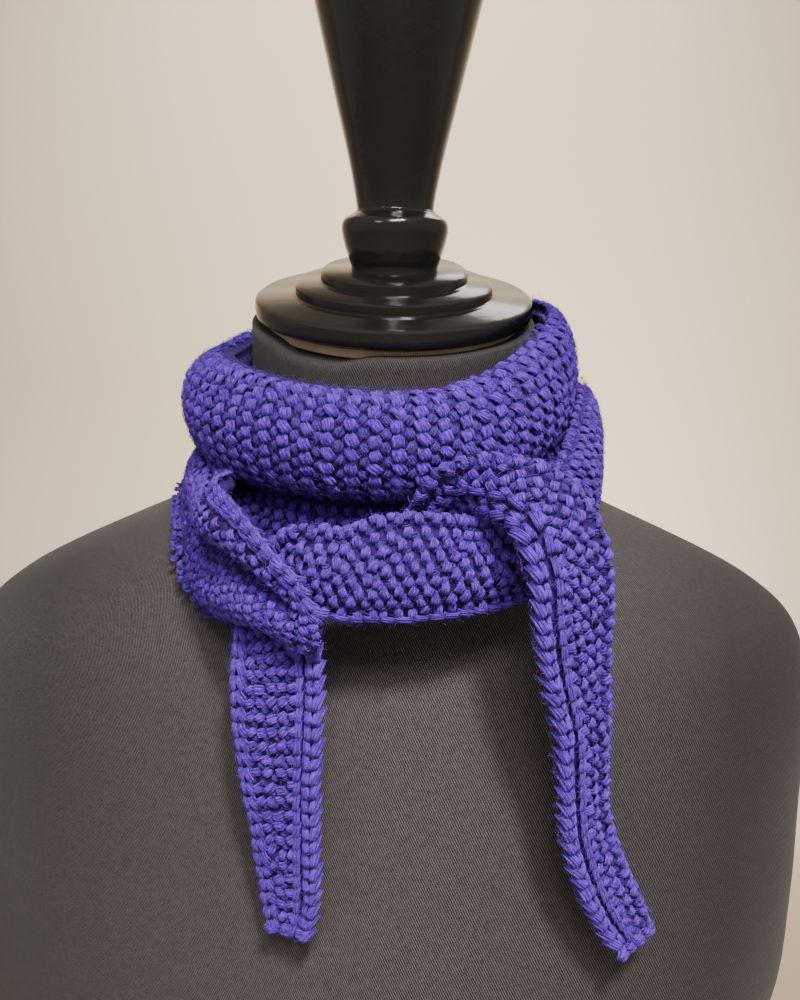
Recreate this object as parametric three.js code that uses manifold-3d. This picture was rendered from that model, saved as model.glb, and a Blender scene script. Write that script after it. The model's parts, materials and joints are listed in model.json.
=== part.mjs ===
// Knit scarf tied in a half knot round the neck of a limbless dress form.
// Millimetres, +Z up, the front of the form looks along -Y.
import * as THREE from 'three';
import Module from 'manifold-3d';

// Driving dimensions
const RIM_HEIGHT = 660;        // cap rim centre over the base
const DEPTH_SHIFT = -1.99;       // sets the outer box centred on the origin
const CAP_TILT = 12;           // the neck's top plane leans forward, degrees
const CAP_LIFT = 2;            // cap over its nominal height
const WALL = 5;                // garter cloth
const CORD = 8;                // knitted cord along both edges
const CORD_RISE = 2.2;         // how far the cord stands off the cloth
const REST = 0.8;              // cloth clear of the form
const SEAM = 0.35;             // clear space between two stretches
const CRUMB = 0.06;            // edges shorter than this are closed up after a cut

const RING_POINTS = 48;        // round the form
const LATHE_SEGMENTS = 36;     // round the turned pieces

// Form sections: z under the rim, half width, half depth, centre y, lean of the plane
const FORM = [
  { z: -10.6, half: 56, depth: 55.5, y: 0, lean: 12 },
  { z: -32, half: 56.3, depth: 56, y: 1, lean: 10 },
  { z: -50, half: 58, depth: 57.8, y: 3, lean: 8 },
  { z: -65, half: 63, depth: 61, y: 5.5, lean: 6 },
  { z: -78, half: 77, depth: 66, y: 8.5, lean: 4 },
  { z: -88, half: 96, depth: 70.5, y: 10.5, lean: 2 },
  { z: -97, half: 117, depth: 74, y: 11.5, lean: 1 },
  { z: -108, half: 142, depth: 78, y: 11.5, lean: 0 },
  { z: -118, half: 160, depth: 81.5, y: 11, lean: 0 },
  { z: -130, half: 174, depth: 85, y: 9.5, lean: 0 },
  { z: -146, half: 181, depth: 88, y: 7.5, lean: 0 },
  { z: -170, half: 184, depth: 91, y: 4.5, lean: 0 },
  { z: -205, half: 183, depth: 95, y: 1.5, lean: 0 },
  { z: -250, half: 183, depth: 99, y: -1.5, lean: 0 },
  { z: -300, half: 181, depth: 99, y: -1.5, lean: 0 },
  { z: -350, half: 162, depth: 93, y: 0, lean: 0 },
  { z: -400, half: 143, depth: 87, y: 2, lean: 0 },
  { z: -450, half: 143, depth: 91, y: 4, lean: 0 },
  { z: -520, half: 160, depth: 104, y: 6, lean: 0 },
  { z: -590, half: 169, depth: 110, y: 7, lean: 0 },
  { z: -660, half: 170, depth: 111, y: 7, lean: 0 },
];

// Turned cap, three steps: radius and height over the rim plane
const CAP = [
  { r: 0, z: -8 }, { r: 52.8, z: -8 }, { r: 54.6, z: -6.6 }, { r: 55, z: -4 },
  { r: 54.6, z: -1.2 }, { r: 53, z: 0 }, { r: 40, z: 0.3 }, { r: 39, z: 1 },
  { r: 38.8, z: 4 }, { r: 37.2, z: 5.2 }, { r: 30, z: 5.4 }, { r: 29, z: 6 },
  { r: 28.8, z: 9 }, { r: 27.2, z: 10.2 }, { r: 0, z: 10.4 },
];

// Pale wood spacer under the cap
const SPACER = [
  { r: 0, z: -12 }, { r: 50.4, z: -12 }, { r: 50.8, z: -11.6 }, { r: 50.8, z: -8.7 },
  { r: 50.4, z: -8.3 }, { r: 0, z: -8.3 },
];

// Finial: bulb, waist and long flare, upright
const FINIAL = [
  { r: 0, z: -2 }, { r: 16.6, z: -2 }, { r: 16.6, z: 10 }, { r: 17.6, z: 14 },
  { r: 19.6, z: 20 }, { r: 20.9, z: 26 }, { r: 20.2, z: 29.5 }, { r: 17.6, z: 31.5 },
  { r: 15.6, z: 33 }, { r: 15.2, z: 36 }, { r: 18.2, z: 52 }, { r: 23.2, z: 73 },
  { r: 31.2, z: 107 }, { r: 36, z: 128 }, { r: 37, z: 138 }, { r: 34.5, z: 147 },
  { r: 26, z: 154 }, { r: 13, z: 158 }, { r: 0, z: 159 },
];

// Stretches that go round the neck. turn: degrees, 0 front, 90 the viewer's right.
// r, z: outer middle of the section; wide, deep: its height and half depth;
// curl: how far the section bends; lean: the face looks up; groove: a fold, at, across.
const NECK_ROLL = [
  { turn: -150, r: 84, z: -24, wide: 37, deep: 13, curl: 240, lean: 8, groove: 0, at: 0.5 },
  { turn: -125, r: 86, z: -30.5, wide: 38, deep: 15, curl: 250, lean: 8, groove: 0, at: 0.5 },
  { turn: -100, r: 85.5, z: -38, wide: 41, deep: 16.5, curl: 260, lean: 5, groove: 1, at: 0.6 },
  { turn: -77, r: 85, z: -42, wide: 44, deep: 16.5, curl: 260, lean: 0, groove: 1.5, at: 0.6 },
  { turn: -50, r: 85, z: -45, wide: 43, deep: 16, curl: 260, lean: -4, groove: 1, at: 0.62 },
  { turn: -25, r: 85.5, z: -47, wide: 40, deep: 15, curl: 260, lean: -6, groove: 0, at: 0.6 },
  { turn: 0, r: 85, z: -47.5, wide: 39, deep: 13.5, curl: 260, lean: -6, groove: 0, at: 0.5 },
  { turn: 22, r: 83, z: -45, wide: 40, deep: 12.5, curl: 260, lean: -4, groove: 0, at: 0.5 },
  { turn: 45, r: 79, z: -37, wide: 42, deep: 11, curl: 250, lean: 0, groove: 0, at: 0.5 },
  { turn: 65, r: 75.5, z: -28.5, wide: 43, deep: 10.5, curl: 240, lean: 4, groove: 0, at: 0.5 },
  { turn: 85, r: 73.5, z: -22.5, wide: 43, deep: 10, curl: 235, lean: 6, groove: 0, at: 0.5 },
  { turn: 110, r: 74.5, z: -19, wide: 42, deep: 9.5, curl: 230, lean: 8, groove: 0, at: 0.5 },
  { turn: 135, r: 77, z: -18, wide: 40, deep: 9, curl: 230, lean: 8, groove: 0, at: 0.5 },
  { turn: 150, r: 78, z: -18, wide: 38, deep: 9.5, curl: 230, lean: 8, groove: 0, at: 0.5 },
];

// Comes from the roll's right end, passes inside at the nape, forward on the left
const LEFT_WRAP = [
  { turn: 150.6, r: 78, z: -18, wide: 38, deep: 9.5, curl: 230, lean: 8, groove: 0, at: 0.5 },
  { turn: 168, r: 76, z: -26, wide: 38, deep: 8.5, curl: 220, lean: 10, groove: 0, at: 0.5 },
  { turn: 188, r: 76, z: -40, wide: 37, deep: 8, curl: 210, lean: 14, groove: 0, at: 0.5 },
  { turn: 208, r: 80, z: -56, wide: 36, deep: 8.5, curl: 200, lean: 18, groove: 0, at: 0.5 },
  { turn: 232, r: 86.5, z: -64, wide: 34, deep: 9.5, curl: 200, lean: 24, groove: 0, at: 0.5 },
  { turn: 255, r: 86.5, z: -67, wide: 31, deep: 9.5, curl: 200, lean: 22, groove: 0, at: 0.5 },
  { turn: 272, r: 84.5, z: -69, wide: 31, deep: 10, curl: 205, lean: 14, groove: 0, at: 0.48 },
  { turn: 288, r: 87, z: -75, wide: 37, deep: 12, curl: 215, lean: 4, groove: 1, at: 0.47 },
  { turn: 302, r: 93, z: -83.5, wide: 50, deep: 17, curl: 215, lean: -4, groove: 3.5, at: 0.46 },
  { turn: 316, r: 103.5, z: -89, wide: 55, deep: 19.5, curl: 205, lean: -12, groove: 7, at: 0.44 },
  { turn: 330, r: 113, z: -90, wide: 48, deep: 19, curl: 190, lean: -22, groove: 8.5, at: 0.41 },
  { turn: 340, r: 115, z: -94, wide: 32, deep: 14.5, curl: 180, lean: -24, groove: 5.5, at: 0.38 },
  { turn: 346, r: 113, z: -98, wide: 20, deep: 9.5, curl: 180, lean: -12, groove: 0.5, at: 0.4 },
  { turn: 350, r: 110, z: -99.5, wide: 11, deep: 5.5, curl: 180, lean: 0, groove: 0, at: 0.5 },
];

// Comes from the roll's left end, passes outside at the nape, forward on the right
const RIGHT_WRAP = [
  { turn: -150.6, r: 84, z: -24, wide: 37, deep: 13, curl: 240, lean: 8, groove: 0, at: 0.5 },
  { turn: -166, r: 92, z: -26, wide: 37, deep: 9, curl: 190, lean: 10, groove: 0, at: 0.5 },
  { turn: -184, r: 97, z: -33, wide: 37, deep: 8.5, curl: 176, lean: 12, groove: 0, at: 0.5 },
  { turn: -202, r: 98, z: -44, wide: 37, deep: 8.5, curl: 176, lean: 14, groove: 0, at: 0.5 },
  { turn: -225, r: 93, z: -53, wide: 38, deep: 9, curl: 190, lean: 20, groove: 0, at: 0.5 },
  { turn: -250, r: 87, z: -55, wide: 39, deep: 10, curl: 215, lean: 18, groove: 0, at: 0.5 },
  { turn: -272, r: 83.5, z: -53, wide: 39, deep: 10.5, curl: 220, lean: 10, groove: 0, at: 0.5 },
  { turn: -292, r: 87, z: -57, wide: 39, deep: 11, curl: 220, lean: 4, groove: 0, at: 0.5 },
  { turn: -308, r: 94, z: -65, wide: 38, deep: 10, curl: 210, lean: 0, groove: 0, at: 0.5 },
  { turn: -318, r: 98, z: -72, wide: 36, deep: 9, curl: 200, lean: 0, groove: 0, at: 0.5 },
];

// Crosses the front to the left under the right tail and over the tuck
const FRONT_BAND = [
  { turn: 41.6, r: 98.2, z: -72.4, wide: 36, deep: 9, curl: 200, lean: 0, groove: 0, at: 0.5 },
  { turn: 30, r: 100, z: -78, wide: 34, deep: 9, curl: 190, lean: -2, groove: 0, at: 0.5 },
  { turn: 18, r: 101, z: -81, wide: 32, deep: 9, curl: 180, lean: -2, groove: 0.8, at: 0.6 },
  { turn: 7, r: 101.5, z: -80.5, wide: 35, deep: 9, curl: 180, lean: -2, groove: 1, at: 0.6 },
  { turn: -1, r: 101.8, z: -81.5, wide: 34, deep: 9, curl: 180, lean: -2, groove: 1, at: 0.6 },
  { turn: -8, r: 102, z: -83.5, wide: 30, deep: 9, curl: 180, lean: -2, groove: 1, at: 0.6 },
  { turn: -16, r: 101, z: -82.5, wide: 29, deep: 8.5, curl: 170, lean: 0, groove: 0, at: 0.6 },
  { turn: -23, r: 95.5, z: -83, wide: 23, deep: 7, curl: 150, lean: 0, groove: 0, at: 0.6 },
];

// Lower part of the roll's cloth, flat against the neck behind the band
const UNDER_FOLD = [
  { turn: -54, r: 73, z: -73, wide: 26, deep: 5, curl: 120, lean: 18, groove: 0, at: 0.5 },
  { turn: -40, r: 71, z: -74, wide: 28, deep: 5, curl: 120, lean: 16, groove: 0, at: 0.5 },
  { turn: -20, r: 69, z: -75, wide: 30, deep: 5, curl: 120, lean: 14, groove: 0, at: 0.5 },
  { turn: 0, r: 68.5, z: -75, wide: 30, deep: 5, curl: 120, lean: 14, groove: 0, at: 0.5 },
  { turn: 20, r: 69, z: -74, wide: 28, deep: 5, curl: 120, lean: 14, groove: 0, at: 0.5 },
  { turn: 34, r: 71, z: -70, wide: 28, deep: 5, curl: 120, lean: 16, groove: 0, at: 0.5 },
  { turn: 48, r: 73.5, z: -63, wide: 32, deep: 5, curl: 120, lean: 16, groove: 0, at: 0.5 },
  { turn: 62, r: 75, z: -58, wide: 32, deep: 5, curl: 120, lean: 12, groove: 0, at: 0.5 },
];

// Stretches with their own line: x, y, z of the outer middle; face: where it looks.
// The tuck goes under the band's lower edge and up behind it.
const KNOT_TUCK = [
  { x: -14, y: -90, z: -97, face: -10, wide: 12, deep: 5, curl: 150, lean: -30, groove: 0, at: 0.5 },
  { x: -5, y: -83, z: -95, face: 0, wide: 16, deep: 5, curl: 130, lean: -20, groove: 0, at: 0.5 },
  { x: 4, y: -80, z: -87, face: 6, wide: 19, deep: 5, curl: 120, lean: 0, groove: 0, at: 0.5 },
  { x: 10, y: -81, z: -77, face: 8, wide: 21, deep: 5, curl: 120, lean: 0, groove: 0, at: 0.5 },
  { x: 15, y: -84, z: -68, face: 10, wide: 20, deep: 5, curl: 120, lean: 6, groove: 0, at: 0.5 },
];

// Folds forward over the band and hangs on the right
const RIGHT_TAIL = [
  { x: 15.3, y: -84.3, z: -67.4, face: 10, wide: 20, deep: 5, curl: 120, lean: 6, groove: 0, at: 0.5 },
  { x: 21, y: -91, z: -57.5, face: 12, wide: 19, deep: 6, curl: 140, lean: 10, groove: 0, at: 0.5 },
  { x: 31, y: -100, z: -53.5, face: 16, wide: 21, deep: 7, curl: 160, lean: 10, groove: 0, at: 0.5 },
  { x: 43.5, y: -106, z: -55, face: 20, wide: 24, deep: 8, curl: 170, lean: 6, groove: 0.8, at: 0.4 },
  { x: 53, y: -108.5, z: -63.5, face: 24, wide: 28, deep: 8.5, curl: 170, lean: 0, groove: 1, at: 0.4 },
  { x: 58.5, y: -110, z: -77, face: 26, wide: 30, deep: 8.5, curl: 170, lean: 0, groove: 1, at: 0.4 },
  { x: 60.3, y: -110, z: -93, face: 26, wide: 29.5, deep: 8, curl: 170, lean: 0, groove: 1, at: 0.4 },
  { x: 62, y: -109, z: -110, face: 26, wide: 26, deep: 7.5, curl: 170, lean: 0, groove: 0.8, at: 0.4 },
  { x: 65.3, y: -108, z: -130, face: 26, wide: 21.5, deep: 7, curl: 170, lean: 0, groove: 0.6, at: 0.4 },
  { x: 66.6, y: -107, z: -150, face: 26, wide: 19.5, deep: 6.5, curl: 170, lean: 0, groove: 0, at: 0.4 },
  { x: 69.5, y: -106, z: -170, face: 26, wide: 19.5, deep: 6.5, curl: 170, lean: 0, groove: 0, at: 0.4 },
  { x: 76.8, y: -104, z: -190, face: 26, wide: 20, deep: 6, curl: 170, lean: 0, groove: 0, at: 0.4 },
  { x: 84.8, y: -102, z: -206, face: 26, wide: 18.5, deep: 5.5, curl: 170, lean: 0, groove: 0, at: 0.4 },
  { x: 90.2, y: -101, z: -216, face: 26, wide: 13.5, deep: 4.5, curl: 170, lean: 0, groove: 0, at: 0.4 },
];

// Hangs on the left from beneath the left wrap
const LEFT_TAIL = [
  { x: -38.5, y: -90, z: -96.5, face: -20, wide: 28, deep: 5.5, curl: 150, lean: 0, groove: 0, at: 0.5 },
  { x: -37.8, y: -94, z: -103, face: -18, wide: 32, deep: 6, curl: 150, lean: 0, groove: 0, at: 0.5 },
  { x: -36.8, y: -98, z: -111, face: -16, wide: 33.5, deep: 6.5, curl: 150, lean: 0, groove: 0.6, at: 0.5 },
  { x: -36.3, y: -101, z: -122, face: -15, wide: 33, deep: 6.5, curl: 150, lean: 0, groove: 0.8, at: 0.5 },
  { x: -36, y: -103.5, z: -136, face: -15, wide: 31.5, deep: 6.5, curl: 150, lean: 0, groove: 0.8, at: 0.5 },
  { x: -35, y: -104.5, z: -155, face: -15, wide: 28, deep: 6, curl: 150, lean: 0, groove: 0.6, at: 0.5 },
  { x: -33.3, y: -105, z: -175, face: -15, wide: 24, deep: 5.5, curl: 150, lean: 0, groove: 0, at: 0.5 },
  { x: -32.2, y: -105, z: -192, face: -15, wide: 20.5, deep: 5, curl: 150, lean: 0, groove: 0, at: 0.5 },
  { x: -32, y: -105, z: -203, face: -15, wide: 17, deep: 4.5, curl: 150, lean: 0, groove: 0, at: 0.5 },
  { x: -32.3, y: -105, z: -211, face: -15, wide: 11, deep: 4, curl: 150, lean: 0, groove: 0, at: 0.5 },
];

const WOOL = { color: 0x5a4f9c, roughness: 0.95, metalness: 0 };
const TWILL = { color: 0x443b37, roughness: 0.9, metalness: 0 };
const LACQUER = { color: 0x0c0b0c, roughness: 0.12, metalness: 0 };
const WOOD = { color: 0xc9b08c, roughness: 0.6, metalness: 0 };

const wasm = await Module();
wasm.setup();
const { Manifold, Mesh } = wasm;
const radians = (degrees) => degrees * Math.PI / 180;

// Value of a smooth curve through four neighbouring values
function curve(a, b, c, d, t) {
  const first = 2 * b + (c - a) * t;
  const second = (2 * a - 5 * b + 4 * c - d) * t * t;
  const third = (3 * b - a - 3 * c + d) * t * t * t;
  return (first + second + third) / 2;
}

// A row between table rows, at a place counted in rows
function rowAt(rows, place) {
  const last = rows.length - 1;
  const index = Math.min(Math.floor(place), last - 1);
  const t = place - index;
  const four = [Math.max(index - 1, 0), index, index + 1, Math.min(index + 2, last)];
  const row = {};
  for (const key of Object.keys(rows[0])) {
    const [a, b, c, d] = four.map((n) => rows[n][key]);
    row[key] = curve(a, b, c, d, t);
  }
  return row;
}

// Form section at a height, with the lean of its plane taken off
function formSection(point) {
  let z = point.z;
  let row = FORM[0];
  for (let pass = 0; pass < 4; pass += 1) {
    row = sectionAtHeight(z);
    z = point.z - Math.tan(radians(row.lean)) * point.y;
  }
  return sectionAtHeight(z);
}

function sectionAtHeight(z) {
  const top = FORM[0].z;
  if (z >= top) return FORM[0];
  let index = 0;
  while (index < FORM.length - 2 && FORM[index + 1].z > z) index += 1;
  const span = FORM[index].z - FORM[index + 1].z;
  const t = Math.min((FORM[index].z - z) / span, 1);
  return rowAt(FORM, index + t);
}

// How far a point is outside the form, in its own section
function outside(point) {
  const row = formSection(point);
  const across = point.x / row.half;
  const along = (point.y - row.y) / row.depth;
  const ratio = Math.hypot(across, along);
  return (ratio - 1) * Math.min(row.half, row.depth);
}

// Moves a point out until it is clear of the form
function pushOut(point, clear) {
  const step = 0.5;
  for (let pass = 0; pass < 5; pass += 1) {
    const value = outside(point);
    const slope = new THREE.Vector3(
      outside(new THREE.Vector3(point.x + step, point.y, point.z)) - value,
      outside(new THREE.Vector3(point.x, point.y + step, point.z)) - value,
      outside(new THREE.Vector3(point.x, point.y, point.z + step)) - value,
    ).divideScalar(step);
    const distance = value / slope.length();
    if (distance >= clear - 0.01) return point;
    point.addScaledVector(slope.normalize(), clear - distance);
  }
  return point;
}

// Solid from rings of equal length, closed at both ends
function ringsToSolid(rings, capEnds) {
  const count = rings[0].length;
  const points = rings.flat();
  const faces = [];
  for (let ring = 0; ring < rings.length - 1; ring += 1) {
    for (let j = 0; j < count; j += 1) {
      const a = ring * count + j;
      const b = ring * count + (j + 1) % count;
      faces.push([a, b, b + count], [a, b + count, a + count]);
    }
  }
  const end = (rings.length - 1) * count;
  for (const [a, b, c] of capEnds(count)) {
    faces.push([a, c, b], [end + a, end + b, end + c]);
  }
  return solidOf(points, faces);
}

function solidOf(points, faces) {
  const mesh = new Mesh({
    numProp: 3,
    vertProperties: new Float32Array(points.flatMap((p) => [p.x, p.y, p.z])),
    triVerts: new Uint32Array(faces.flat()),
  });
  mesh.merge();
  const solid = new Manifold(mesh);
  if (solid.volume() > 0) return solid;
  return solidOf(points, faces.map(([a, b, c]) => [a, c, b]));
}

// End of a strip: outer and inner points joined across the wall
function wallEnds(count) {
  const half = count / 2;
  const faces = [];
  for (let j = 0; j < half - 1; j += 1) {
    const across = count - 1 - j;
    faces.push([j, j + 1, across], [j + 1, across - 1, across]);
  }
  return faces;
}

// End of a closed round section
function fanEnds(count) {
  const faces = [];
  for (let j = 1; j < count - 1; j += 1) faces.push([0, j, j + 1]);
  return faces;
}

// Places across the cloth: close together on the cords, even between them
function placesAcross(cord) {
  const inner = 6;
  const places = [0, cord * 0.3, cord * 0.7, cord];
  for (let j = 1; j <= inner; j += 1) {
    places.push(cord + (1 - 2 * cord) * j / (inner + 1));
  }
  places.push(1 - cord, 1 - cord * 0.7, 1 - cord * 0.3, 1);
  return places;
}

// Line of a stretch that goes round the neck
function roundTheNeck(row) {
  const turn = radians(row.turn);
  return {
    point: new THREE.Vector3(row.r * Math.sin(turn), -row.r * Math.cos(turn), row.z),
    face: turn,
  };
}

// Line of a stretch with its own x, y, z
function ownLine(row) {
  return { point: new THREE.Vector3(row.x, row.y, row.z), face: radians(row.face) };
}

// Points of one section of cloth, outer then inner
function sectionRing(row, line, along, swell) {
  const outward = new THREE.Vector3(Math.sin(line.face), -Math.cos(line.face), 0);
  outward.addScaledVector(along, -outward.dot(along)).normalize();
  outward.applyAxisAngle(along, -radians(row.lean));
  const side = new THREE.Vector3().crossVectors(along, outward).normalize();
  const curl = radians(row.curl);
  const reach = row.curl >= 180 ? 1 : Math.sin(curl / 2);
  const half = row.wide / 2 / reach;
  const arc = curl * (half + row.deep) / 2;
  const cord = Math.min(CORD / arc, 0.3);
  const wall = Math.min(WALL, row.deep * 0.62);
  const centre = line.point.clone().addScaledVector(outward, -row.deep);
  const outer = [];
  const inner = [];
  for (const place of placesAcross(cord)) {
    const bend = (place - 0.5) * curl;
    const normal = outward.clone().multiplyScalar(Math.cos(bend) / row.deep);
    normal.addScaledVector(side, Math.sin(bend) / half).normalize();
    const edge = Math.min(place, 1 - place) / cord;
    const rise = edge < 1 ? CORD_RISE * Math.sin(Math.PI * edge) : 0;
    const away = (place - row.at) / 0.17;
    const sink = row.groove * Math.exp(-away * away);
    const out = centre.clone();
    out.addScaledVector(outward, (row.deep + swell) * Math.cos(bend));
    out.addScaledVector(side, (half + swell) * Math.sin(bend));
    out.addScaledVector(normal, rise - sink);
    const back = centre.clone();
    back.addScaledVector(outward, (row.deep - wall - swell) * Math.cos(bend));
    back.addScaledVector(side, (half - wall - swell) * Math.sin(bend));
    back.addScaledVector(normal, -sink);
    outer.push(pushOut(out, REST + wall));
    inner.push(pushOut(back, REST));
  }
  return outer.concat(inner.reverse());
}

// Cloth along a line: rows of a table, with sections worked out between them
function cloth(rows, lineOf, steps, swell = 0) {
  const stations = (rows.length - 1) * steps;
  const rings = [];
  const near = 0.02;
  for (let k = 0; k <= stations; k += 1) {
    const place = k / steps;
    const row = rowAt(rows, place);
    const before = lineOf(rowAt(rows, Math.max(place - near, 0)));
    const after = lineOf(rowAt(rows, Math.min(place + near, rows.length - 1)));
    const along = after.point.clone().sub(before.point).normalize();
    const line = lineOf(row);
    if (k === 0) line.point.addScaledVector(along, -swell);
    if (k === stations) line.point.addScaledVector(along, swell);
    rings.push(sectionRing(row, line, along, swell));
  }
  return ringsToSolid(rings, wallEnds);
}

function formBody() {
  const rings = [];
  const fine = 11;
  const places = [];
  for (let k = 0; k < fine; k += 0.5) places.push(k);
  for (let k = fine; k < FORM.length; k += 1) places.push(k);
  for (const place of places) {
    const row = rowAt(FORM, place);
    const ring = [];
    for (let j = 0; j < RING_POINTS; j += 1) {
      const turn = 2 * Math.PI * j / RING_POINTS;
      const x = row.half * Math.cos(turn);
      const y = row.y + row.depth * Math.sin(turn);
      ring.push(new THREE.Vector3(x, y, row.z + Math.tan(radians(row.lean)) * y));
    }
    rings.push(ring);
  }
  return ringsToSolid(rings, fanEnds);
}

// Turned piece from a closed profile
function turned(profile) {
  const rings = [];
  for (const { r, z } of profile.slice(1, -1)) {
    const ring = [];
    for (let j = 0; j < LATHE_SEGMENTS; j += 1) {
      const turn = 2 * Math.PI * j / LATHE_SEGMENTS;
      ring.push(new THREE.Vector3(r * Math.cos(turn), r * Math.sin(turn), z));
    }
    rings.push(ring);
  }
  return ringsToSolid(rings, fanEnds);
}

// Finial foot cut to sit on the leaning cap
function finialBody() {
  const lean = radians(CAP_TILT);
  const capTop = CAP[CAP.length - 2].z + SEAM + CAP_LIFT * Math.cos(lean);
  const up = [0, -Math.sin(lean), Math.cos(lean)];
  return turned(FINIAL).trimByPlane(up, capTop);
}

// The largest body of a cut, so that no loose crumb stays
function largest(solid) {
  const bodies = solid.decompose();
  return bodies.reduce((best, body) => (body.volume() > best.volume() ? body : best));
}

function cutBy(solid, cutters) {
  let result = solid;
  for (const cutter of cutters) result = result.subtract(cutter);
  return largest(result.simplify(CRUMB));
}

function meshOf(name, solid, look) {
  const data = solid.getMesh();
  const geometry = new THREE.BufferGeometry();
  const moved = new Float32Array(data.numVert * 3);
  for (let n = 0; n < data.numVert; n += 1) {
    moved[3 * n] = data.vertProperties[data.numProp * n];
    moved[3 * n + 1] = data.vertProperties[data.numProp * n + 1] + DEPTH_SHIFT;
    moved[3 * n + 2] = data.vertProperties[data.numProp * n + 2] + RIM_HEIGHT;
  }
  geometry.setAttribute('position', new THREE.BufferAttribute(moved, 3));
  geometry.setIndex(new THREE.BufferAttribute(new Uint32Array(data.triVerts), 1));
  geometry.computeVertexNormals();
  const mesh = new THREE.Mesh(geometry, new THREE.MeshStandardMaterial(look));
  mesh.name = name;
  return mesh;
}

const group = new THREE.Group();
group.name = 'knit_scarf_on_dress_form';

// Each stretch, and the same a little larger to clear its neighbours
function stretch(rows, lineOf, steps) {
  const solid = cloth(rows, lineOf, steps);
  return { solid, space: cloth(rows, lineOf, steps, SEAM).add(solid) };
}

// Shifted copies of a finished stretch, for a neighbour that lies close all over
function roomRound(solid) {
  const shifts = [[1, 0, 0], [-1, 0, 0], [0, 1, 0], [0, -1, 0], [0, 0, 1], [0, 0, -1]];
  return shifts.map((shift) => solid.translate(shift.map((part) => part * SEAM)));
}

const roll = stretch(NECK_ROLL, roundTheNeck, 3);
const right = stretch(RIGHT_WRAP, roundTheNeck, 3);
const left = stretch(LEFT_WRAP, roundTheNeck, 3);
const band = stretch(FRONT_BAND, roundTheNeck, 2);
const under = stretch(UNDER_FOLD, roundTheNeck, 2);
const tucked = stretch(KNOT_TUCK, ownLine, 2);
const hangRight = stretch(RIGHT_TAIL, ownLine, 2);
const hangLeft = stretch(LEFT_TAIL, ownLine, 2);

const neckRoll = roll.solid;
const rightWrap = cutBy(right.solid, [roll.space, hangRight.space]);
const wrapLeft = cutBy(left.solid, [roll.space, right.space]);
const bandRoom = [right.space, roll.space, hangRight.space, ...roomRound(wrapLeft)];
const frontBand = cutBy(band.solid, bandRoom);
const tuck = cutBy(tucked.solid, [band.space, left.space, roll.space, right.space]);
const tailRight = cutBy(hangRight.solid, [tucked.space, roll.space]);
const tailLeft = cutBy(hangLeft.solid, [left.space, band.space, tucked.space]);
const underRoom = [roll.space, left.space, right.space, band.space, tucked.space];
const underFold = cutBy(under.solid, [...underRoom, hangRight.space, hangLeft.space]);

const leanBack = (solid) => solid.rotate([CAP_TILT, 0, 0]).translate([0, 0, CAP_LIFT]);
group.add(meshOf('form_body', formBody(), TWILL));
group.add(meshOf('neck_spacer', leanBack(turned(SPACER)), WOOD));
group.add(meshOf('neck_cap', leanBack(turned(CAP)), LACQUER));
group.add(meshOf('finial', finialBody(), LACQUER));
group.add(meshOf('scarf_neck_roll', neckRoll, WOOL));
group.add(meshOf('scarf_under_fold', underFold, WOOL));
group.add(meshOf('scarf_right_wrap', rightWrap, WOOL));
group.add(meshOf('scarf_left_wrap', wrapLeft, WOOL));
group.add(meshOf('scarf_front_band', frontBand, WOOL));
group.add(meshOf('scarf_knot_tuck', tuck, WOOL));
group.add(meshOf('scarf_right_tail', tailRight, WOOL));
group.add(meshOf('scarf_left_tail', tailLeft, WOOL));

export default group;
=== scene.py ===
"""Looks of a knit scarf knotted round the neck of a limbless dress form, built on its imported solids."""
import json
import math

import bmesh
import bpy
import numpy as np
from mathutils import Matrix, Vector

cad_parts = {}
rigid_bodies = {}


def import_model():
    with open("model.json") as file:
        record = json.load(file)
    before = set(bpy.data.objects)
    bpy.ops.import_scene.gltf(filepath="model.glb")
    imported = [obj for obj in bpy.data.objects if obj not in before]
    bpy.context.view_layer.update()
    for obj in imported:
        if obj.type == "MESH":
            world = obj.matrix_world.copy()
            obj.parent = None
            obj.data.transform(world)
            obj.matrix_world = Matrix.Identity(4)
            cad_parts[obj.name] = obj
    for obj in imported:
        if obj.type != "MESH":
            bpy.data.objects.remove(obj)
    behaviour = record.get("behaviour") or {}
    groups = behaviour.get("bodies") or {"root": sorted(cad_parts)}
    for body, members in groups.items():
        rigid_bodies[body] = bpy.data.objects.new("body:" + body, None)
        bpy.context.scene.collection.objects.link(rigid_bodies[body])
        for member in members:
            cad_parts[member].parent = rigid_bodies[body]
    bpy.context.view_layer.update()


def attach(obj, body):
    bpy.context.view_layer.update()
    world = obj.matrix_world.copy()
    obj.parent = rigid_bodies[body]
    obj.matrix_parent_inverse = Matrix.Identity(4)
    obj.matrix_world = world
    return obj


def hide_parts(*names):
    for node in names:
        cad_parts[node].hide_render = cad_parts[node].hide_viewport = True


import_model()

# Sizes, in millimetres from the cap rim's centre, as in the solids
MM = 0.001
RIM_HEIGHT = 660         # cap rim above the base
DEPTH_SHIFT = -1.99      # from the cap rim's centre to the part's own middle in depth
CAP_TILT = 12            # degrees that cap and spacer lean to the front
CAP_LIFT = 2             # how much higher they sit than their profiles
WALL = 5                 # thickness of the cloth
CORD = 8                 # width of the raised rim along both edges
CORD_RISE = 2.2          # how far that rim stands up
FOLD_WIDTH = 0.17        # width of a lengthwise fold and of its crease, as shares of the cloth's width
CREASE_WIDTH = 0.07
REST = 0.8               # from the form to the cloth
SECTION_POINTS = 61      # points across the cloth
STATIONS = 20            # sections of the cloth between two rows of its table

# Camera, placed in millimetres from the cap rim's centre
LENS = 32.4
CAMERA_PLACE = (3.8, -367, 9)
CAMERA_TILT = 76         # degrees up from looking straight down
CAMERA_ROLL = 1

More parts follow.
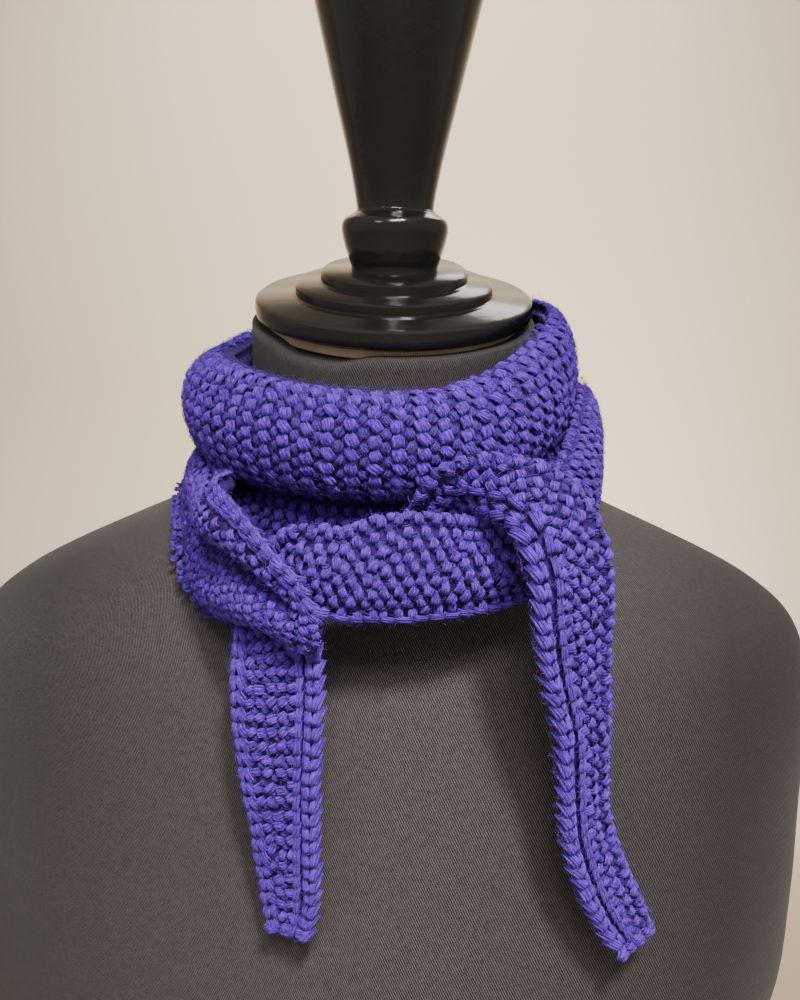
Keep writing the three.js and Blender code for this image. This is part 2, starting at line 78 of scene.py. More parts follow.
# Knit, in millimetres
BUMP_ACROSS = 5.2        # a bump's own room along a ridge
RIDGE = 6.2              # a bump's own room from ridge to ridge
VEE = 5.1                # from vee to vee along a corded edge
VEE_WIDTH = 7.2          # width of a vee's shape, and of a long single stitch's
LINE_WIDTH = 3.2
STRANDS = 4              # plies of one stitch
GROUND_DEPTH = 2.5       # ground cloth under the tops of the bumps
INNER_MAP = 60           # where the map of the ground cloth's inner side starts
FIBRES = 0.34            # loose fibres for each square millimetre
UNDER_CORD = 1.3         # how far bumps go under a corded edge
PLAIN_RIM = 0.8          # rim without bumps where no cord is laid
WIDEST_HALF = 60         # more than half the width of any stretch
BEHIND = -12             # cloth whose middle is behind this y carries bumps only this far round its bend
BEHIND_REACH = 82        # degrees
RIM_FADE = 30            # degrees of bend over which the last bumps sink, and how deep
RIM_SINK = 1.3
# How far bumps stray: along in ridges, across in points, up in millimetres, turned in radians
STRAY_ALONG, STRAY_ACROSS, STRAY_UP, STRAY_TURN = 0.04, 0.12, 0.13, 0.13
LEAST_SHARE = 0.31       # least area of a stretch, as a share of its flat width by length

# Wool finishes
WOOL_SHEEN = (0.36, 0.2, 1.0, 1)
STREAKS = 4.4            # how much fibres differ in tint
# Painted shade: how much darker a stitch's ends are made, where they dive between bumps
PAINTED_END_SHADE = 0.75         # how much darker a stitch's ends are

# Hem of the form's cover, in millimetres, and the dip in it where the wood shows
NECK_TOP = -10.6
HEM_FOOT = -22           # below this height the cover isn't lifted
HEM_RISE = 2.6
DIP_DEPTH = 3.6
DIP_ANGLE = 238          # degrees from +x, counted over the back
DIP_WIDTH = 0.34         # radians

# The form's sections: height, half width, half depth, middle in y, lean in degrees
FORM = np.array([
    (NECK_TOP, 56, 55.5, 0, 12), (-32, 56.3, 56, 1, 10), (-50, 58, 57.8, 3, 8), (-65, 63, 61, 5.5, 6),
    (-78, 77, 66, 8.5, 4), (-88, 96, 70.5, 10.5, 2), (-97, 117, 74, 11.5, 1), (-108, 142, 78, 11.5, 0),
    (-118, 160, 81.5, 11, 0), (-130, 174, 85, 9.5, 0), (-146, 181, 88, 7.5, 0), (-170, 184, 91, 4.5, 0),
    (-205, 183, 95, 1.5, 0), (-250, 183, 99, -1.5, 0), (-300, 181, 99, -1.5, 0), (-350, 162, 93, 0, 0),
    (-400, 143, 87, 2, 0), (-450, 143, 91, 4, 0), (-520, 160, 104, 6, 0), (-590, 169, 110, 7, 0),
    (-660, 170, 111, 7, 0),
], float)

# Turned profiles: radius, height
CAP = [
    (0, -8), (52.8, -8), (54.6, -6.6), (55, -4), (54.6, -1.2), (53, 0), (40, 0.3), (39, 1), (38.8, 4),
    (37.2, 5.2), (30, 5.4), (29, 6), (28.8, 9), (27.2, 10.2), (0, 10.4),
]
SPACER = [
    (0, -12), (50.4, -12), (50.8, -11.6), (50.8, -8.7), (50.4, -8.3), (0, -8.3),
]
FINIAL = [
    (0, -2), (16.6, -2), (16.6, 10), (17.6, 14), (19.6, 20), (20.9, 26), (20.2, 29.5), (17.6, 31.5),
    (15.6, 33), (15.2, 36), (18.2, 52), (23.2, 73), (31.2, 107), (36, 128), (37, 138), (34.5, 147),
    (26, 154), (13, 158), (0, 159),
]

# Stretches round the neck. turn: degrees from the front to the viewer's right; r: from the neck's middle to
# the cloth's outer side; wide, deep: size of a section; curl: degrees its curve goes round; lean: degrees it
# is swung about its own line; groove, at: depth of a lengthwise fold, and its place across the cloth
ROUND = ("turn", "r", "z", "wide", "deep", "curl", "lean", "groove", "at")
NECK_ROLL = [
    (-150, 84, -24, 37, 13, 240, 8, 0, 0.5), (-125, 86, -30.5, 38, 15, 250, 8, 0, 0.5),
    (-100, 85.5, -38, 41, 16.5, 260, 5, 1, 0.6), (-77, 85, -42, 44, 16.5, 260, 0, 1.5, 0.6),
    (-50, 85, -45, 43, 16, 260, -4, 1, 0.62), (-25, 85.5, -47, 40, 15, 260, -6, 0, 0.6),
    (0, 85, -47.5, 39, 13.5, 260, -6, 0, 0.5), (22, 83, -45, 40, 12.5, 260, -4, 0, 0.5),
    (45, 79, -37, 42, 11, 250, 0, 0, 0.5), (65, 75.5, -28.5, 43, 10.5, 240, 4, 0, 0.5),
    (85, 73.5, -22.5, 43, 10, 235, 6, 0, 0.5), (110, 74.5, -19, 42, 9.5, 230, 8, 0, 0.5),
    (135, 77, -18, 40, 9, 230, 8, 0, 0.5), (150, 78, -18, 38, 9.5, 230, 8, 0, 0.5),
]
LEFT_WRAP = [
    (150.6, 78, -18, 38, 9.5, 230, 8, 0, 0.5), (168, 76, -26, 38, 8.5, 220, 10, 0, 0.5),
    (188, 76, -40, 37, 8, 210, 14, 0, 0.5), (208, 80, -56, 36, 8.5, 200, 18, 0, 0.5),
    (232, 86.5, -64, 34, 9.5, 200, 24, 0, 0.5), (255, 86.5, -67, 31, 9.5, 200, 22, 0, 0.5),
    (272, 84.5, -69, 31, 10, 205, 14, 0, 0.48), (288, 87, -75, 37, 12, 215, 4, 1, 0.47),
    (302, 93, -83.5, 50, 17, 215, -4, 3.5, 0.46), (316, 103.5, -89, 55, 19.5, 205, -12, 7, 0.44),
    (330, 113, -90, 48, 19, 190, -22, 8.5, 0.41), (340, 115, -94, 32, 14.5, 180, -24, 5.5, 0.38),
    (346, 113, -98, 20, 9.5, 180, -12, 0.5, 0.4), (350, 110, -99.5, 11, 5.5, 180, 0, 0, 0.5),
]
RIGHT_WRAP = [
    (-150.6, 84, -24, 37, 13, 240, 8, 0, 0.5), (-166, 92, -26, 37, 9, 190, 10, 0, 0.5),
    (-184, 97, -33, 37, 8.5, 176, 12, 0, 0.5), (-202, 98, -44, 37, 8.5, 176, 14, 0, 0.5),
    (-225, 93, -53, 38, 9, 190, 20, 0, 0.5), (-250, 87, -55, 39, 10, 215, 18, 0, 0.5),
    (-272, 83.5, -53, 39, 10.5, 220, 10, 0, 0.5), (-292, 87, -57, 39, 11, 220, 4, 0, 0.5),
    (-308, 94, -65, 38, 10, 210, 0, 0, 0.5), (-318, 98, -72, 36, 9, 200, 0, 0, 0.5),
]
FRONT_BAND = [
    (41.6, 98.2, -72.4, 36, 9, 200, 0, 0, 0.5), (30, 100, -78, 34, 9, 190, -2, 0, 0.5),
    (18, 101, -81, 32, 9, 180, -2, 0.8, 0.6), (7, 101.5, -80.5, 35, 9, 180, -2, 1, 0.6),
    (-1, 101.8, -81.5, 34, 9, 180, -2, 1, 0.6), (-8, 102, -83.5, 30, 9, 180, -2, 1, 0.6),
    (-16, 101, -82.5, 29, 8.5, 170, 0, 0, 0.6), (-23, 95.5, -83, 23, 7, 150, 0, 0, 0.6),
]
UNDER_FOLD = [
    (-54, 73, -73, 26, 5, 120, 18, 0, 0.5), (-40, 71, -74, 28, 5, 120, 16, 0, 0.5),
    (-20, 69, -75, 30, 5, 120, 14, 0, 0.5), (0, 68.5, -75, 30, 5, 120, 14, 0, 0.5),
    (20, 69, -74, 28, 5, 120, 14, 0, 0.5), (34, 71, -70, 28, 5, 120, 16, 0, 0.5),
    (48, 73.5, -63, 32, 5, 120, 16, 0, 0.5), (62, 75, -58, 32, 5, 120, 12, 0, 0.5),
]

# Stretches with their own line. face: the way they look, in degrees from the front
OWN = ("x", "y", "z", "face", "wide", "deep", "curl", "lean", "groove", "at")
KNOT_TUCK = [
    (-14, -90, -97, -10, 12, 5, 150, -30, 0, 0.5), (-5, -83, -95, 0, 16, 5, 130, -20, 0, 0.5),
    (4, -80, -87, 6, 19, 5, 120, 0, 0, 0.5), (10, -81, -77, 8, 21, 5, 120, 0, 0, 0.5),
    (15, -84, -68, 10, 20, 5, 120, 6, 0, 0.5),
]
RIGHT_TAIL = [
    (15.3, -84.3, -67.4, 10, 20, 5, 120, 6, 0, 0.5), (21, -91, -57.5, 12, 19, 6, 140, 10, 0, 0.5),
    (31, -100, -53.5, 16, 21, 7, 160, 10, 0, 0.5), (43.5, -106, -55, 20, 24, 8, 170, 6, 0.8, 0.4),
    (53, -108.5, -63.5, 24, 28, 8.5, 170, 0, 1, 0.4), (58.5, -110, -77, 26, 30, 8.5, 170, 0, 1, 0.4),
    (60.3, -110, -93, 26, 29.5, 8, 170, 0, 1, 0.4), (62, -109, -110, 26, 26, 7.5, 170, 0, 0.8, 0.4),
    (65.3, -108, -130, 26, 21.5, 7, 170, 0, 0.6, 0.4), (66.6, -107, -150, 26, 19.5, 6.5, 170, 0, 0, 0.4),
    (69.5, -106, -170, 26, 19.5, 6.5, 170, 0, 0, 0.4), (76.8, -104, -190, 26, 20, 6, 170, 0, 0, 0.4),
    (84.8, -102, -206, 26, 18.5, 5.5, 170, 0, 0, 0.4), (90.2, -101, -216, 26, 13.5, 4.5, 170, 0, 0, 0.4),
]
LEFT_TAIL = [
    (-38.5, -90, -96.5, -20, 28, 5.5, 150, 0, 0, 0.5), (-37.8, -94, -103, -18, 32, 6, 150, 0, 0, 0.5),
    (-36.8, -98, -111, -16, 33.5, 6.5, 150, 0, 0.6, 0.5),
    (-36.3, -101, -122, -15, 33, 6.5, 150, 0, 0.8, 0.5),
    (-36, -103.5, -136, -15, 31.5, 6.5, 150, 0, 0.8, 0.5),
    (-35, -104.5, -155, -15, 28, 6, 150, 0, 0.6, 0.5), (-33.3, -105, -175, -15, 24, 5.5, 150, 0, 0, 0.5),
    (-32.2, -105, -192, -15, 20.5, 5, 150, 0, 0, 0.5), (-32, -105, -203, -15, 17, 4.5, 150, 0, 0, 0.5),
    (-32.3, -105, -211, -15, 11, 4, 150, 0, 0, 0.5),
]

# Knit of each stretch. ridge and across: mm from bump to bump along the cloth and across it; slant: lean of
# its ridges; uneven: how untidy its bumps are; reach: degrees of bend that carry stitches; crease: how much
# sharper its folds are than in the solids; tip: whether its end is corded; cords: lines of stitches along its
# edges, as edge, [(row, mm in from the rim), ...], width, kind, and 1 or -1 for the way they point
KNIT = {"columns": ROUND, "slant": 0.0, "uneven": 1.0, "reach": 90, "crease": 0.0, "tip": False,
        "held": "draped", "cords": []}
STRETCHES = {
    "roll": {
        "node": "scarf_neck_roll", "rows": NECK_ROLL, "ridge": 8.0, "across": 5.0,
        "uneven": 0.8, "reach": 104},
    "left_wrap": {
        "node": "scarf_left_wrap", "rows": LEFT_WRAP, "ridge": 4.4, "across": 3.7,
        "slant": 0.15, "uneven": 1.2, "reach": 140, "crease": 1.0,
        "cords": [(0, [(0, 2.8), (12, 2.8), (13, 2.2)], 6.2, "vee", 1),
                  (0, [(0, 0.1), (13, 0.1)], 3.0, "line", 1)]},
    "right_wrap": {
        "node": "scarf_right_wrap", "rows": RIGHT_WRAP, "ridge": 5.4, "across": 4.2, "uneven": 1.2},
    "band": {
        "node": "scarf_front_band", "rows": FRONT_BAND, "ridge": 4.8, "across": 4.1,
        "slant": -0.7, "uneven": 1.4, "reach": 100,
        "cords": [(0, [(0, 2.2), (7, 2)], 2.8, "line", 1)]},
    "under_fold": {
        "node": "scarf_under_fold", "rows": UNDER_FOLD, "ridge": 5.4, "across": 4.4},
    "knot_tuck": {
        "node": "scarf_knot_tuck", "rows": KNOT_TUCK, "columns": OWN, "ridge": 5.0, "across": 4.0},
    "right_tail": {
        "node": "scarf_right_tail", "rows": RIGHT_TAIL, "columns": OWN, "ridge": 5.0, "across": 3.9,
        "slant": 0.25, "uneven": 1.5, "reach": 95, "tip": True, "held": "hung",
        "cords": [(1, [(0, 5.0), (13, 4.4)], 7.0, "vee", -1),
                  (1, [(0, 9.6), (13, 8.0)], 2.8, "line", 1)]},
    "left_tail": {
        "node": "scarf_left_tail", "rows": LEFT_TAIL, "columns": OWN, "ridge": 4.9, "across": 4.0,
        "slant": 0.12, "uneven": 1.5, "reach": 95, "tip": True, "held": "hung",
        "cords": [(0, [(0, 3.6), (9, 2.8)], 6.6, "vee", -1),
                  (0, [(0, 8.6), (7, 7.4), (9, 5.5)], 2.8, "line", 1),
                  (1, [(0, 3.9), (9, 2.8)], 6.2, "vee", 1)]},
}
STRETCHES = {name: {**KNIT, **own} for name, own in STRETCHES.items()}


# Forms of the cloth
def between(rows, place):
    """Rows of a table at places counted in rows, on a smooth curve."""
    place = np.atleast_1d(place)
    last = len(rows) - 1
    index = np.minimum(np.floor(place).astype(int), last - 1)
    t = (place - index)[:, None]
    a, b = rows[np.maximum(index - 1, 0)], rows[index]
    c, d = rows[index + 1], rows[np.minimum(index + 2, last)]
    cubic = (3 * b - a - 3 * c + d) * t ** 3
    return (2 * b + (c - a) * t + (2 * a - 5 * b + 4 * c - d) * t ** 2 + cubic) / 2


def finer(rows, steps):
    """A table with more rows, worked out on a smooth curve between its own."""
    last = len(rows) - 1
    return between(rows, np.linspace(0, last - 1e-9, last * steps + 1))


def form_section(z):
    """Half width, half depth, centre and lean of the form at heights."""
    z = np.clip(z, FORM[-1, 0], FORM[0, 0])
    index = np.clip(np.searchsorted(-FORM[:, 0], -z, side="right") - 1, 0, len(FORM) - 2)
    t = (FORM[index, 0] - z) / (FORM[index, 0] - FORM[index + 1, 0])
    return between(FORM, np.minimum(index + t, len(FORM) - 1 - 1e-9))


def outside(points):
    """How far points are outside the form."""
    z = points[:, 2]
    for _ in range(4):
        row = form_section(z)
        z = points[:, 2] - np.tan(np.radians(row[:, 4])) * points[:, 1]
    row = form_section(z)
    ratio = np.hypot(points[:, 0] / row[:, 1], (points[:, 1] - row[:, 3]) / row[:, 2])
    return (ratio - 1) * np.minimum(row[:, 1], row[:, 2])


def push_out(points, clear):
    """Points moved out until they are clear of the form."""
    points = points.copy()
    for _ in range(5):
        value = outside(points)
        slope = np.stack([outside(points + 0.5 * axis) - value for axis in np.eye(3)], 1) / 0.5
        steep = np.linalg.norm(slope, axis=1)
        short = np.maximum(clear - value / steep, 0)
        points += slope / steep[:, None] * short[:, None]
    return points


def unit(v):
    """Directions of length 1."""
    return v / np.linalg.norm(v, axis=-1, keepdims=True)


def line_of(row, columns):
    """Outer middle of the section and the way it faces."""
    if columns is ROUND:
        turn = np.radians(row[:, 0])
        return np.stack([row[:, 1] * np.sin(turn), -row[:, 1] * np.cos(turn), row[:, 2]], 1), turn
    return row[:, :3], np.radians(row[:, 3])


def cloth_grid(knit):
    """Outer and inner points of the cloth, its outward direction and its bend, section by section."""
    rows, columns = np.array(knit["rows"], float), knit["columns"]
    last = len(rows) - 1
    place = np.linspace(0, last - 1e-9, STATIONS * last + 1)
    row = between(rows, place)
    spot, face = line_of(row, columns)
    step = 0.02
    before, _ = line_of(between(rows, np.maximum(place - step, 0)), columns)
    after, _ = line_of(between(rows, np.minimum(place + step, last - 1e-9)), columns)
    along = unit(after - before)
    out = np.stack([np.sin(face), -np.cos(face), 0 * face], 1)
    out = unit(out - along * np.sum(out * along, 1, keepdims=True))
    names = ("wide", "deep", "curl", "lean", "groove", "at")
    wide, deep, curl, lean, groove, at = (row[:, columns.index(name)][:, None] for name in names)
    swing = -np.radians(lean)
    out = out * np.cos(swing) + np.cross(along, out) * np.sin(swing)
    side = unit(np.cross(along, out))
    curl = np.radians(curl)
    half = wide / 2 / np.where(curl >= np.pi, 1, np.sin(curl / 2))
    # Narrow and shallow sections get a narrower rim and a thinner wall
    cord = np.minimum(CORD / (curl * (half + deep) / 2), 0.3)
    wall = np.minimum(WALL, deep * 0.62)
    spread = np.linspace(0, 1, SECTION_POINTS)[None, :]
    bend = (spread - 0.5) * curl
    edge = np.minimum(spread, 1 - spread) / cord
    rise = np.where(edge < 1, CORD_RISE * np.sin(np.pi * np.minimum(edge, 1)), 0)
    fold, crease = (np.exp(-((spread - at) / width) ** 2) for width in (FOLD_WIDTH, CREASE_WIDTH))
    sink = groove * (fold + knit["crease"] * crease)
    o, s, cos, sin = out[:, None, :], side[:, None, :], np.cos(bend)[..., None], np.sin(bend)[..., None]
    deep, half, wall = deep[..., None], half[..., None], wall[..., None]
    normal = unit(o * cos / deep + s * sin / half)
    centre = spot[:, None, :] - o * deep
    outer = centre + o * cos * deep + s * sin * half + normal * (rise - sink)[..., None]
    inner = centre + o * cos * (deep - wall) + s * sin * (half - wall) - normal * sink[..., None]
    outer = push_out(outer.reshape(-1, 3), REST + float(wall.mean())).reshape(outer.shape)
    inner = push_out(inner.reshape(-1, 3), REST).reshape(inner.shape)
    return outer, inner, normal, np.degrees(bend)


def to_scene(points):
    """Millimetres from the cap rim to metres in the frame."""
    return (np.asarray(points, float) + (0, DEPTH_SHIFT, RIM_HEIGHT)) * MM


def pick(grid, i, j):
    """Values of a grid between its points."""
    i0 = np.clip(np.floor(i).astype(int), 0, grid.shape[0] - 2)
    j0 = np.clip(np.floor(j).astype(int), 0, grid.shape[1] - 2)
    s, t = (i - i0)[:, None], (j - j0)[:, None]
    low = grid[i0, j0] * (1 - t) + grid[i0, j0 + 1] * t
    high = grid[i0 + 1, j0] * (1 - t) + grid[i0 + 1, j0 + 1] * t
    return low * (1 - s) + high * s


def run_length(points):
    """Distance along a row of points."""
    return np.concatenate([[0], np.cumsum(np.linalg.norm(np.diff(points, axis=0), axis=1))])


def place_at(distance, run):
    """Place in a row of points, at a distance along it."""
    return np.interp(distance, run, np.arange(len(run)))


def kept_on(place, count):
    """Places kept on a row of so many points."""
    return np.clip(place, 0, count - 1.001)


def middle_line(grid):
    """Points along the middle of a grid."""
    return grid[:, grid.shape[1] // 2]


def cell_areas(grid):
    """Area of each cell of a grid of points."""
    first, second = np.diff(grid, axis=0)[:, :-1], np.diff(grid, axis=1)[:-1]
    return np.linalg.norm(np.cross(first, second), axis=2)


# Meshes
def put(name, data):
    """A new object in the scene."""
    piece = bpy.data.objects.new(name, data)
    bpy.context.scene.collection.objects.link(piece)
    return piece


def add_piece(name, points, faces):
    """A smooth mesh in the scene, its faces pointing outwards."""
    mesh = bpy.data.meshes.new(name)
    mesh.from_pydata([tuple(p) for p in points], [], faces)
    mesh.shade_smooth()
    piece = put(name, mesh)
    work = bmesh.new()
    work.from_mesh(mesh)
    bmesh.ops.recalc_face_normals(work, faces=work.faces)
    work.to_mesh(mesh)
    work.free()
    return piece


def ring_faces(rings, count, start=0):
    """Faces between closed rings of points that follow each other."""
    found = []
    for low in range(start, start + (rings - 1) * count, count):
        high = low + count
        for j in range(count):
            k = (j + 1) % count
            found.append((low + j, low + k, high + k, high + j))
    return found


def fan(start, count, middle):
    """Faces from a ring of points to the point in its middle."""
    return [(start + j, start + (j + 1) % count, middle) for j in range(count)]


def lay_uv(piece, values):
    """One u, v pair for each point."""
    layer = piece.data.uv_layers.new(name="cloth")
    index = np.empty(len(piece.data.loops), int)
    piece.data.loops.foreach_get("vertex_index", index)
    layer.data.foreach_set("uv", np.asarray(values, float)[index].ravel())


def ground_cloth(name, outer, inner, normal):
    """Closed shell of the cloth under its stitches, with its flat width, length and area."""
    outer, inner, normal = outer[::2, ::2], inner[::2, ::2], normal[::2, ::2]
    top = outer - normal * GROUND_DEPTH
    rings, half = outer.shape[:2]
    count = half * 2
    points = np.concatenate([top, inner[:, ::-1]], 1).reshape(-1, 3)
    faces = ring_faces(rings, count)
    for start in (0, (rings - 1) * count):
        end = start + count - 1
        faces += [(start + j, start + j + 1, end - 1 - j, end - j) for j in range(half - 1)]
    piece = add_piece(name, to_scene(points), faces)
    middle = (top + inner) / 2
    area = float(cell_areas(middle).sum())
    wide = float(np.linalg.norm(np.diff(middle, axis=1), axis=2).sum(1).max())
    long = float(np.linalg.norm(np.diff(middle, axis=0), axis=2).sum(0).max())
    u = np.repeat(run_length(middle_line(outer)), count)
    v = run_length(outer[rings // 2])
    v = np.tile(np.concatenate([v, v[::-1] + INNER_MAP]), rings)
    lay_uv(piece, np.stack([u, v], 1) * MM)
    return piece, wide * MM, long * MM, area * MM * MM


def strands(name, lines, radii, sides):
    """Plies as one mesh: a closed tube along each line, with u along it and v round it."""
    points, faces, uv = [], [], []
    angle = np.linspace(0, 2 * np.pi, sides, endpoint=False)
    for number, (line, radius) in enumerate(zip(lines, radii)):
        start = len(points)
        along = unit(np.gradient(line, axis=0))
        first = unit(np.cross(along, (0, 0, 1.0)))
        second = np.cross(first, along)
        for k, (spot, a, b, r) in enumerate(zip(line, first, second, radius)):
            points.extend((spot + r * (np.cos(angle)[:, None] * a + np.sin(angle)[:, None] * b)) * MM)
            uv += [(k / (len(line) - 1), number + j / sides) for j in range(sides)]
        faces += ring_faces(len(line), sides, start)
        faces += [tuple(range(start, start + sides)), tuple(range(len(points) - sides, len(points)))]
    piece = add_piece(name, points, faces)
    lay_uv(piece, uv)
    return piece


def bundle(number, line, apart, lift, radius, sides, loose, gather=0.0, droop=0.0):
    """Shape of some strands side by side on a line, each a little its own way, the middle ones higher.
    gather: how much they close up at the ends. droop: how much lower they lie away from the middle."""
    rng = np.random.default_rng(number)
    t = np.linspace(-1, 1, len(line))
    along = unit(np.gradient(line, axis=0))
    sideways = unit(np.stack([-along[:, 1], along[:, 0], 0 * along[:, 0]], 1))
    lines = []
    for k in range(STRANDS):
        off = k - (STRANDS - 1) / 2
        rise = lift * (1 - abs(off) * 2 / (STRANDS - 1)) + rng.uniform(-1, 1) * loose
        bow = sideways * (rng.uniform(-2, 2) * loose * (1 - t ** 2))[:, None]
        slide = along.mean(0) * rng.uniform(-2, 2) * loose
        spread = (apart * off * (1 - gather * t ** 2))[:, None]
        strand = line + sideways * spread + bow + slide + (0, 0, rise)
        strand[:, 2] -= droop * strand[:, 0] ** 2
        lines.append(strand)
    return strands(f"shape_{number}", lines, [radius * (1 - 0.35 * t ** 2)] * STRANDS, sides)


def bump_shape(number, slant):
    """Garter bump: plies that slant across the ridge and dive at both ends."""
    t = np.array([-1, -0.45, 0.45, 1])
    line = np.stack([2.3 * t, slant * t, -0.95 - 2.1 * np.abs(t) ** 3], 1)
    return bundle(number, line, apart=0.84, lift=0.42, radius=0.68, sides=5, loose=0.17, gather=0.4)


def sunk_shape(number, slant):
    """Lower, smaller bump between two ridges."""
    t = np.array([-1, -0.4, 0.4, 1])
    line = np.stack([1.7 * t, slant * t, -1.95 - 1.2 * np.abs(t) ** 3], 1)
    return bundle(number, line, apart=0.7, lift=0.4, radius=0.58, sides=4, loose=0.2, gather=0.4)


def leg_shape(number, hand):
    """Leg of a vee of the corded edge: long strands. hand is -1 or 1."""
    t = np.array([-1, -0.5, 0, 0.5, 1])
    line = np.stack([hand * (1.7 + 0.8 * t), 3.0 * t, -0.85 - 1.1 * t ** 4 - 0.9 * t], 1)
    return bundle(
        number, line, apart=0.72, lift=0.4, radius=0.64, sides=4, loose=0.06, gather=0.1, droop=0.15)


def line_shape(number):
    """Long stitch that runs along an edge in one line."""
    t = np.array([-1, -0.5, 0, 0.5, 1])
    line = np.stack([0.5 * t, 3.2 * t, -0.65 - 0.9 * t ** 4], 1)
    return bundle(number, line, apart=0.7, lift=0.5, radius=0.5, sides=4, loose=0.12)


def fibre_shape(number, rise, thick):
    """A fine loose fibre that leaves the yarn and bends over."""
    t = np.linspace(0, 1, 3)
    line = np.stack([3.8 * t, 0.9 * np.sin(3.2 * t + number), -0.7 + rise * t * (1.25 - t)], 1)
    return strands(f"shape_{number}", [line], [thick * (1 - 0.5 * t)], 3)


# Numbers of the shapes for bumps, lower loops, vees, single stitches and fibres
BUMPS, SUNK, LEGS, LINE, LOOSE = (0, 1, 2), (3, 4), (5, 6), (7,), (8, 9)


def make_shapes():
    """All stitch shapes, in the order of their numbers."""
    made = [
        bump_shape(0, 0.9), bump_shape(1, 1.5), bump_shape(2, 0.3),
        sunk_shape(3, 1.0), sunk_shape(4, -0.9),
        leg_shape(5, -1), leg_shape(6, 1), line_shape(7),
        fibre_shape(8, 2.6, 0.07), fibre_shape(9, 1.5, 0.1),
    ]
    shapes = bpy.data.collections.new("stitch_shapes")
    bpy.context.scene.collection.children.link(shapes)
    for piece in made:
        shapes.objects.link(piece)
        bpy.context.scene.collection.objects.unlink(piece)
    return shapes


# Stitches laid by Geometry Nodes
def laying_tree():
    """Lays copies of the shapes on points, chosen, turned and stretched by the points' own values."""
    tree = bpy.data.node_groups.new("lay_stitches", "GeometryNodeTree")
    face = tree.interface
    face.new_socket("Geometry", in_out="INPUT", socket_type="NodeSocketGeometry")
    face.new_socket("Shapes", in_out="INPUT", socket_type="NodeSocketCollection")
    face.new_socket("Unevenness", in_out="INPUT", socket_type="NodeSocketFloat").default_value = 0.06
    face.new_socket("Yarn", in_out="INPUT", socket_type="NodeSocketMaterial")
    face.new_socket("Geometry", in_out="OUTPUT", socket_type="NodeSocketGeometry")
    new, join = tree.nodes.new, tree.links.new
    start, end = new("NodeGroupInput"), new("NodeGroupOutput")
    shape, lay = new("GeometryNodeCollectionInfo"), new("GeometryNodeInstanceOnPoints")
    shape.inputs["Separate Children"].default_value = True
    shape.inputs["Reset Children"].default_value = True
    lay.inputs["Pick Instance"].default_value = True
    choice = new("GeometryNodeInputNamedAttribute")
    choice.data_type = "INT"
    choice.inputs["Name"].default_value = "which"
    turn, stretch = new("GeometryNodeInputNamedAttribute"), new("GeometryNodeInputNamedAttribute")
    for made, name in ((turn, "turn"), (stretch, "stretch")):
        made.data_type = "FLOAT_VECTOR"
        made.inputs["Name"].default_value = name
    spread = new("FunctionNodeRandomValue")
    spread.data_type = "FLOAT"
    spread.inputs["Seed"].default_value = 7
    low, high = new("ShaderNodeMath"), new("ShaderNodeMath")
    low.operation, high.operation = "SUBTRACT", "ADD"
    low.inputs[0].default_value = high.inputs[0].default_value = 1.0
    scale = new("ShaderNodeVectorMath")
    scale.operation = "SCALE"
    real, finish = new("GeometryNodeRealizeInstances"), new("GeometryNodeSetMaterial")
    join(start.outputs["Unevenness"], low.inputs[1])
    join(start.outputs["Unevenness"], high.inputs[1])
    join(low.outputs[0], spread.inputs[2])
    join(high.outputs[0], spread.inputs[3])
    join(stretch.outputs["Attribute"], scale.inputs[0])
    join(spread.outputs[1], scale.inputs["Scale"])
    join(start.outputs["Shapes"], shape.inputs["Collection"])
    join(choice.outputs["Attribute"], lay.inputs["Instance Index"])
    join(start.outputs["Geometry"], lay.inputs["Points"])
    join(shape.outputs["Instances"], lay.inputs["Instance"])
    join(turn.outputs["Attribute"], lay.inputs["Rotation"])
    join(scale.outputs["Vector"], lay.inputs["Scale"])
    join(lay.outputs["Instances"], real.inputs["Geometry"])
    join(real.outputs["Geometry"], finish.inputs["Geometry"])
    join(start.outputs["Yarn"], finish.inputs["Material"])
    join(finish.outputs["Geometry"], end.inputs["Geometry"])
    return tree


def set_input(modifier, tree, name, value):
    """Sets a modifier's input by the name its tree gives it."""
    for item in tree.interface.items_tree:
        if item.item_type == "SOCKET" and item.in_out == "INPUT" and item.name == name:
            modifier[item.identifier] = value


def lay_copies(name, shapes, spots, yarn, tree, uneven=0.06):
    """Stitches at their spots, each with its own shape, directions and stretch, made one plain mesh."""
    which, spot, frames, stretch = (np.concatenate(part) for part in zip(*spots))
    mesh = bpy.data.meshes.new(name + "_spots")
    mesh.from_pydata([tuple(p) for p in to_scene(spot)], [], [])
    turns = [tuple(Matrix(three).transposed().to_euler("XYZ")) for three in frames]
    for label, values in (("turn", turns), ("stretch", stretch)):
        layer = mesh.attributes.new(label, "FLOAT_VECTOR", "POINT")
        layer.data.foreach_set("vector", np.array(values, float).ravel())
    mesh.attributes.new("which", "INT", "POINT").data.foreach_set("value", which.astype(np.int32))
    holder = put(name + "_spots", mesh)
    laid = holder.modifiers.new("laid", "NODES")
    laid.node_group = tree
    for label, value in (("Shapes", shapes), ("Unevenness", uneven), ("Yarn", yarn)):
        set_input(laid, tree, label, value)
    ready = holder.evaluated_get(bpy.context.evaluated_depsgraph_get())
    plain = bpy.data.meshes.new_from_object(ready)
    holder.modifiers.remove(laid)
    bpy.data.objects.remove(holder)
    plain.name = name
    return put(name, plain)


def spots_of(which, spot, across, along, up, stretch, rng, tip):
    """Spots for lay_copies; tip is how unevenly each stitch leans, in radians."""
    each = (len(spot), 1)
    up = unit(up + across * rng.normal(0, 1, each) * tip + along * rng.normal(0, 1, each) * tip)
    across = unit(across - up * np.sum(across * up, 1, keepdims=True))
    return which, spot, np.stack([across, np.cross(up, across), up], 1), stretch


